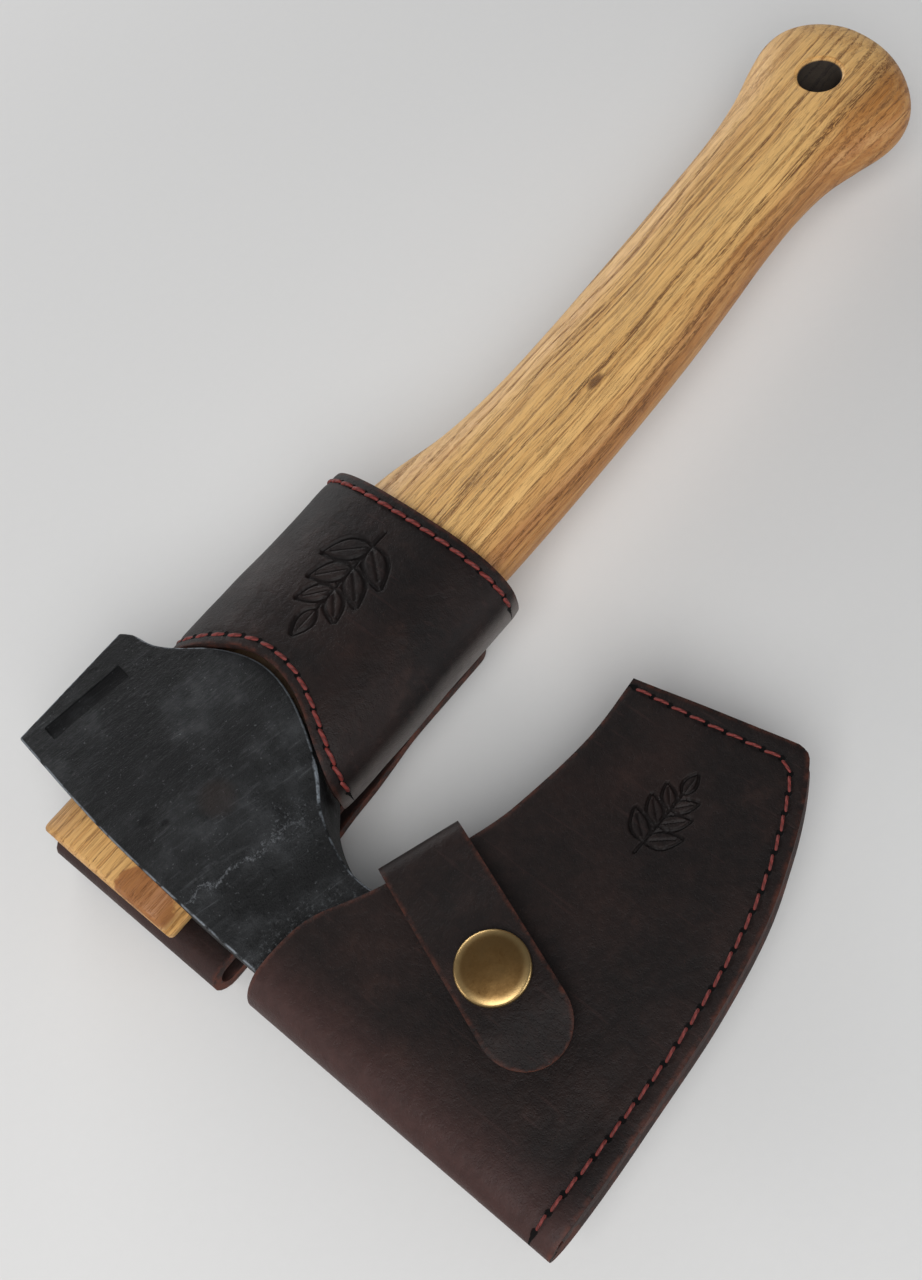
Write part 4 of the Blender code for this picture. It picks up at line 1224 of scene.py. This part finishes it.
def build_strap(sizes, colours):
    path = strap_path()
    ends = (2.0, STRAP_HALF_WIDTH)
    inset = STRAP_HALF_WIDTH - 3
    seam = box_seam((9.0, -inset), (21.0, inset), 8)
    pitch = real_pitch(seam, sizes)
    notes = {}

    def place(s, distance):
        spot = path.at(distance)
        half = strip_half(distance, path.length, STRAP_HALF_WIDTH, *ends)
        point = on_strap(spot.x, s * half, spot.y)
        along, off = seam.near(Vector((spot.x, s * half, 0.0))) if spot.y < -5 else (0.0, FAR)
        rim = min(half * (1 - abs(s)), distance, path.length - distance)
        notes[spot_key(point)] = (along / pitch, off, rim)
        return point

    across = [2 * t - 1 for t in steps(18, 0.06)]
    bm = lay_grid(across, strip_steps(path.length, 84, *ends), place)
    mark_seams(bm, notes)
    bmesh.ops.remove_doubles(bm, verts=bm.verts[:], dist=0.0005)
    bmesh.ops.recalc_face_normals(bm, faces=bm.faces[:])
    hide = oiled_leather(colours, "strap_hide")
    raw = raw_leather(colours, "strap_cut_edge", 0.25)
    strap = add_piece("closure_strap_leather", bm, [hide, raw], closed=False)
    thicken(strap, STRAP_THICK, 0.0, 0.35)
    hand_over(strap, None, "sheath_leather", "closure_strap")
    low = DATUM + on_strap(HINGE_REACH, z=HINGE_Z + 0.6) * MM
    high = DATUM + on_strap(HINGE_REACH, z=3.0) * MM
    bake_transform(strap)

    def on_tail(flat):
        return on_strap(flat.x, flat.y, -strap_seat(flat.x) - STRAP_GAP - STRAP_THICK + 0.1)

    sew("strap_anchor_stitches", seam, on_tail, lambda point: Vector((0, 0, -1)), colours, "sheath",
        "strap_anchor_thread", sizes)


def snap_matrix(level):
    """Places a turned snap piece on the sheath's slope at a height above the sheath."""
    here = on_strap(SNAP_REACH, z=sheath_level(SNAP_REACH))
    ahead = on_strap(SNAP_REACH + 4, z=sheath_level(SNAP_REACH + 4))
    behind = on_strap(SNAP_REACH - 4, z=sheath_level(SNAP_REACH - 4))
    along = (ahead - behind).normalized()
    normal = along.cross(strap_axes()[1])
    if normal.z < 0:
        normal.negate()
    turn = Vector((0, 0, 1)).rotation_difference(normal).to_matrix().to_4x4()
    return Matrix.Translation(here + normal * level) @ turn


def build_snap(sizes, colours):
    top = STRAP_THICK + 0.1
    dome = smooth([(6.8, top + 0.02), (7.4, top + 0.35), (7.55, top + 0.95), (7.3, top + 1.5),
                   (6.6, top + 1.82), (5.2, top + 2.12), (3.0, top + 2.4), (0.0, top + 2.52)], 5)
    foot = -0.25
    profile = [(0.0, foot), (2.0, foot), (2.0, top - 0.1), (6.3, top - 0.1), *dome]
    bm = turned(profile, 80)
    mark(bm, polish=lambda v: ease(v.co.xy.length, 5.6, 7.0) * ease(v.co.z, top + 0.6, top + 1.3))
    bmesh.ops.transform(bm, matrix=snap_matrix(SNAP_STACK), verts=bm.verts[:])
    finish = antique_brass(colours)
    cap = add_piece("snap_cap_dome", bm, [finish], angle=50)
    hand_over(cap, "strap", "antique_brass", "snap_cap")
    for node in ("snap_socket", "snap_stud", "snap_post"):
        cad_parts[node].material_slots[0].material = finish


# ---- the belt holster

# (y, x) of the sleeve's front rim
SCOOP = [(-34.0, 41.0), (-29.0, 42.6), (-22.6, 46.2), (-13.6, 51.6), (-5.0, 54.6), (5.0, 54.6),
         (15.2, 50.0), (22.0, 45.8), (27.0, 44.6)]


def sleeve_girth():
    """Line round the sleeve, as (y, z), from the back seam by the poll side and the front."""
    oval = full_oval(160, SLEEVE_POWER)
    return Path([(SLEEVE_MID_Y + SLEEVE_HALF_Y * c, SLEEVE_HALF_Z * s)
                 for c, s in oval[120:] + oval[:121]], 1)


GIRTH = sleeve_girth()


def sleeve_start(y, z):
    """Where the sleeve begins along the handle: the scoop in front, the panel's top behind."""
    scoop = read(SCOOP, y)
    return scoop + (SLEEVE_BACK_X - scoop) * ease(z, -6.5, -10.5)


def on_sleeve(flat):
    """Sleeve's outer face at flat (x, distance round it)."""
    spot = GIRTH.at(flat.y)
    return Vector((flat.x, spot.x, spot.y))


def build_sleeve(sizes, colours):
    slot_share = 0.6 / GIRTH.length
    inset = 2.7
    front_low, front_high = 0.26 * GIRTH.length, 0.745 * GIRTH.length
    hem = Path([(SLEEVE_TOP_X - inset, girth)
                for girth in (front_low, (front_low + front_high) / 2, front_high)])
    rim_line = []
    for i in range(41):
        girth = front_low + (front_high - front_low) * i / 40
        spot = GIRTH.at(girth)
        rim_line.append((sleeve_start(spot.x, spot.y) + inset, girth))
    rim_seam = Path(rim_line, 2)
    seams = [(seam, real_pitch(seam, sizes)) for seam in (hem, rim_seam)]
    notes = {}

    def place(s, t):
        girth = (slot_share + (1 - 2 * slot_share) * s) * GIRTH.length
        spot = GIRTH.at(girth)
        start = sleeve_start(spot.x, spot.y)
        x = start + (SLEEVE_TOP_X - start) * t
        flat = Vector((x, girth, 0.0))
        best = (0.0, FAR)
        for seam, pitch in seams:
            along, off = seam.near(flat)
            if abs(off) < abs(best[1]):
                best = (along / pitch, off)
        rim = min(x - start, SLEEVE_TOP_X - x, girth, GIRTH.length - girth)
        outward = Vector((0.0, spot.x - SLEEVE_MID_Y, spot.y * 2.0)).normalized()
        wave = noise.noise(Vector((x, spot.x, spot.y)) / 26) * 0.5
        wave += noise.noise(Vector((x, spot.x, spot.y + 50)) / 9) * 0.12
        wave = min(0.25, wave) - 0.25 * math.exp(-(best[1] / 1.2) ** 2) - 0.25 * (1 - ease(rim, 0.0, 1.6))
        point = Vector((x, spot.x, spot.y)) + outward * wave
        notes[spot_key(point)] = (*best, rim)
        return point

    bm = lay_grid(steps(140, 0.004), steps(46, 0.016), place)
    mark_seams(bm, notes)
    face_outwards(bm, (75.0, SLEEVE_MID_Y, 0.0))
    middle_x, middle_y, size = 78.0, -1.0, 31.0
    press_sprig(bm, lambda v: (middle_x - v.co.x, v.co.y - middle_y, v.co.z > 5), size, sizes)
    # A pale grey band low on the sleeve's bit-side fold is a painted highlight.
    hide = oiled_leather(colours, "sleeve_hide", lambda f: f.y.ramp(-26.0, -28.6) * f.z.ramp(4.0, -3.0),
                         (0.16, 0.14, 0.13), grey=1.0)
    sleeve = add_piece("holster_sleeve_leather", bm, [hide, raw_leather(colours, "sleeve_cut_edge")],
                       closed=False)
    thicken(sleeve, SLEEVE_WALL, -1.0)
    hand_over(sleeve, "holster", "holster_leather", "holster_sleeve")

    def sunk(flat):
        point = on_sleeve(flat)
        return point - Vector((0.0, (point.y - SLEEVE_MID_Y) * 0.004, point.z * 0.017))

    def outward(point):
        return Vector((0.0, point.y - SLEEVE_MID_Y, point.z * 2.0))

    for name, seam, node in (("hem_stitches", hem, "sleeve_hem_thread"),
                             ("scoop_stitches", rim_seam, "sleeve_scoop_thread")):
        sew(name, seam, sunk, outward, colours, "holster", node, sizes)


def panel_path():
    """Middle line of the back panel as (x, z): up behind the head, round the loop and down again."""
    half = LEATHER / 2
    front = LEAF_FRONT_Z - half
    low = -SLEEVE_HALF_Z - GAP - half
    radius = (LOOP_GAP + LEATHER) / 2
    nose = LOOP_NOSE_X + half + radius
    turn = [(nose + radius * math.cos(a), front - radius + radius * math.sin(a))
            for a in (math.radians(90 + 22.5 * i) for i in range(9))]
    back = front - 2 * radius
    leaf = low - LEATHER - GAP
    rise = [(x, low) for x in (SLEEVE_TOP_X - 1, 84.0, 68.0)] + [(61.0, (low + front) / 2)]
    rise += [(x, front) for x in (54.0, 38.0, 20.0, 10.0)]
    fall = [(x, back) for x in (10.0, 24.0, 44.0, 52.0)] + [(60.0, (back + leaf) / 2)]
    fall += [(x, leaf) for x in (68.0, 82.0, 96.0)]
    return Path(rise + turn + fall, 4)


def build_panel(sizes, colours):
    path = panel_path()
    middle, half = (PANEL_LOW_Y + PANEL_HIGH_Y) / 2, (PANEL_HIGH_Y - PANEL_LOW_Y) / 2
    ends = (3.0, 5.0)
    leaf_back = -SLEEVE_HALF_Z - 2 * (GAP + LEATHER)
    reach = half - 4 - PANEL_TAPER
    seam = box_seam((70.0, middle - reach), (92.0, middle + reach), 10)
    pitch = real_pitch(seam, sizes)
    notes = {}

    def place(s, distance):
        spot = path.at(distance)
        wide = strip_half(distance, path.length, half, *ends)
        taper = PANEL_TAPER * ease(spot.x, 8.0, 52.0)
        point = Vector((spot.x, middle + s * wide + taper * (1 - s) / 2, spot.y))
        flat = Vector((point.x, point.y, 0.0))
        along, off = seam.near(flat) if spot.x > 62 and spot.y < -16.5 else (0.0, FAR)
        rim = min(wide * (1 - abs(s)), distance, path.length - distance)
        notes[spot_key(point)] = (along / pitch, off, rim)
        return point

    across = [2 * t - 1 for t in steps(40, 0.018)]
    bm = lay_grid(across, strip_steps(path.length, 150, *ends), place)
    mark_seams(bm, notes)
    bmesh.ops.recalc_face_normals(bm, faces=bm.faces[:])
    # The panel is tinted reddish round the loop's nose: pulled-up colour with a painted sheen.
    hide = oiled_leather(colours, "panel_hide", lambda f: f.x.ramp(6.0, -3.0) * 0.6, colours.fold)
    raw = raw_leather(colours, "panel_cut_edge", 0.50)
    panel = add_piece("holster_back_panel_leather", bm, [hide, raw], closed=False)
    thicken(panel, LEATHER, 0.0)
    hand_over(panel, "holster", "holster_leather", "holster_back_panel")
    sew("belt_loop_stitches", seam, lambda flat: Vector((flat.x, flat.y, leaf_back + 0.1)),
        lambda point: Vector((0, 0, -1)), colours, "holster", "belt_loop_thread", sizes)


# ---- the stage

CAMERA_SPOT = Vector((-6.0, -181.0, 306.0))
CAMERA_TURN = (30.66, -21.68, -30.8)        # tilt from straight down, roll, turn about Z, in degrees
LENS = 45.84
FILM_HEIGHT = 36.0


def add_camera():
    data = bpy.data.cameras.new("camera")
    data.sensor_fit = "VERTICAL"
    data.sensor_height = FILM_HEIGHT
    data.lens = LENS
    data.clip_start = 0.01
    camera = bpy.data.objects.new("camera", data)
    tilt, roll, turn = (math.radians(a) for a in CAMERA_TURN)
    place = Matrix.Translation(DATUM + CAMERA_SPOT * MM)
    camera.matrix_world = (place @ Matrix.Rotation(turn, 4, "Z") @ Matrix.Rotation(tilt, 4, "X")
                           @ Matrix.Rotation(roll, 4, "Z"))
    bpy.context.scene.collection.objects.link(camera)
    bpy.context.scene.camera = camera


def add_light(name, spot, size, power, colour=(1.0, 1.0, 1.0)):
    """Soft rectangular light that looks at the middle of the object."""
    data = bpy.data.lights.new(name, "AREA")
    data.shape = "RECTANGLE"
    data.size, data.size_y = size
    data.energy = power
    data.color = colour
    light = bpy.data.objects.new(name, data)
    light.location = spot
    middle = (cad_low + cad_high) / 2
    light.rotation_euler = (middle - Vector(spot)).to_track_quat("-Z", "Y").to_euler()
    bpy.context.scene.collection.objects.link(light)


def build_stage(sizes):
    add_camera()
    bm = bmesh.new()
    half_width, drop = 3.0, 0.0002
    bmesh.ops.create_grid(bm, x_segments=1, y_segments=1, size=half_width)
    bmesh.ops.translate(bm, verts=bm.verts[:], vec=(0, 0, cad_low.z - drop))
    mesh = bpy.data.meshes.new("floor")
    bm.to_mesh(mesh)
    bm.free()
    floor = bpy.data.objects.new("floor", mesh)
    mesh.materials.append(pale_floor())
    bpy.context.scene.collection.objects.link(floor)

    power = sizes.key_power
    add_light("key", (-0.45, -0.42, 0.78), (0.7, 0.7), power)
    add_light("fold", (-0.75, 0.42, 0.30), (0.45, 0.30), power * 0.15, (1.0, 0.96, 0.95))
    add_light("poll_side", (0.20, 0.85, 0.24), (0.7, 0.22), power * 0.45)
    add_light("bit_side", (0.25, -0.90, 0.10), (0.6, 0.07), power * 0.30, (0.93, 0.97, 1.0))
    world = bpy.data.worlds.new("studio")
    bpy.context.scene.world = world
    world.use_nodes = True
    sky = world.node_tree.nodes["Background"]
    sky.inputs["Color"].default_value = (0.80, 0.84, 0.90, 1.0)
    sky.inputs["Strength"].default_value = 0.20
    bpy.context.scene.view_settings.view_transform = "Standard"


# ---- operators and panel

class HatchetOperator:
    """Shared run of the piece operators: one build function, which raises if it can't finish."""
    bl_options = {"REGISTER", "UNDO"}
    build = None

    def execute(self, context):
        type(self).build(context.scene.hatchet_sizes, context.scene.hatchet_colours)
        return {"FINISHED"}


class HATCHET_OT_head(HatchetOperator, bpy.types.Operator):
    """Forge the bearded head with its eye, blank stamp recess and rubbed rims that carry a painted
    highlight
    """
    bl_idname = "hatchet.head"
    bl_label = "Forged Head"
    build = build_head


class HATCHET_OT_handle(HatchetOperator, bpy.types.Operator):
    """Shape the ash handle with its tenon, kerf and hanging hole"""
    bl_idname = "hatchet.handle"
    bl_label = "Ash Handle"
    build = build_handle


class HATCHET_OT_wedges(HatchetOperator, bpy.types.Operator):
    """Finish the beech wedge and the steel ring wedge"""
    bl_idname = "hatchet.wedges"
    bl_label = "Wedges"
    build = build_wedges


class HATCHET_OT_sheath(HatchetOperator, bpy.types.Operator):
    """Fold and sew the blade sheath with its welt"""
    bl_idname = "hatchet.sheath"
    bl_label = "Blade Sheath"
    build = build_sheath


class HATCHET_OT_strap(HatchetOperator, bpy.types.Operator):
    """Lay the closure strap round the beard and sew its tail"""
    bl_idname = "hatchet.strap"
    bl_label = "Closure Strap"
    build = build_strap


class HATCHET_OT_snap(HatchetOperator, bpy.types.Operator):
    """Turn the snap's cap and finish its other pieces"""
    bl_idname = "hatchet.snap"
    bl_label = "Snap"
    build = build_snap


class HATCHET_OT_sleeve(HatchetOperator, bpy.types.Operator):
    """Wrap and sew the holster's sleeve"""
    bl_idname = "hatchet.sleeve"
    bl_label = "Holster Sleeve"
    build = build_sleeve


class HATCHET_OT_panel(HatchetOperator, bpy.types.Operator):
    """Bend and sew the holster's back panel into its belt loop"""
    bl_idname = "hatchet.panel"
    bl_label = "Back Panel and Belt Loop"
    build = build_panel


class HATCHET_OT_stage(bpy.types.Operator):
    """Set up the floor, the soft lights and the camera"""
    bl_idname = "hatchet.stage"
    bl_label = "Stage"
    bl_options = {"REGISTER", "UNDO"}

    def execute(self, context):
        build_stage(context.scene.hatchet_sizes)
        return {"FINISHED"}


OPERATORS = (HATCHET_OT_stage, HATCHET_OT_head, HATCHET_OT_handle, HATCHET_OT_wedges, HATCHET_OT_sheath,
             HATCHET_OT_strap, HATCHET_OT_snap, HATCHET_OT_sleeve, HATCHET_OT_panel)


class HATCHET_PT_pieces(bpy.types.Panel):
    """Lists the hatchet's pieces, sizes and colours"""
    bl_label = "Hatchet"
    bl_idname = "HATCHET_PT_pieces"
    bl_space_type = "VIEW_3D"
    bl_region_type = "UI"
    bl_category = "Hatchet"

    def draw(self, context):
        layout = self.layout
        for group in (context.scene.hatchet_sizes, context.scene.hatchet_colours):
            for name in group.__annotations__:
                layout.prop(group, name)
        for operator in OPERATORS:
            layout.operator(operator.bl_idname)


CLASSES = (HatchetSizes, HatchetColours, *OPERATORS, HATCHET_PT_pieces)


def register():
    for item in CLASSES:
        bpy.utils.register_class(item)
    bpy.types.Scene.hatchet_sizes = PointerProperty(type=HatchetSizes)
    bpy.types.Scene.hatchet_colours = PointerProperty(type=HatchetColours)


def unregister():
    del bpy.types.Scene.hatchet_colours
    del bpy.types.Scene.hatchet_sizes
    for item in reversed(CLASSES):
        bpy.utils.unregister_class(item)


def main():
    register()
    for piece in ("stage", "head", "handle", "wedges", "sheath", "strap", "snap", "sleeve", "panel"):
        getattr(bpy.ops.hatchet, piece)()


if __name__ == "__main__":
    main()
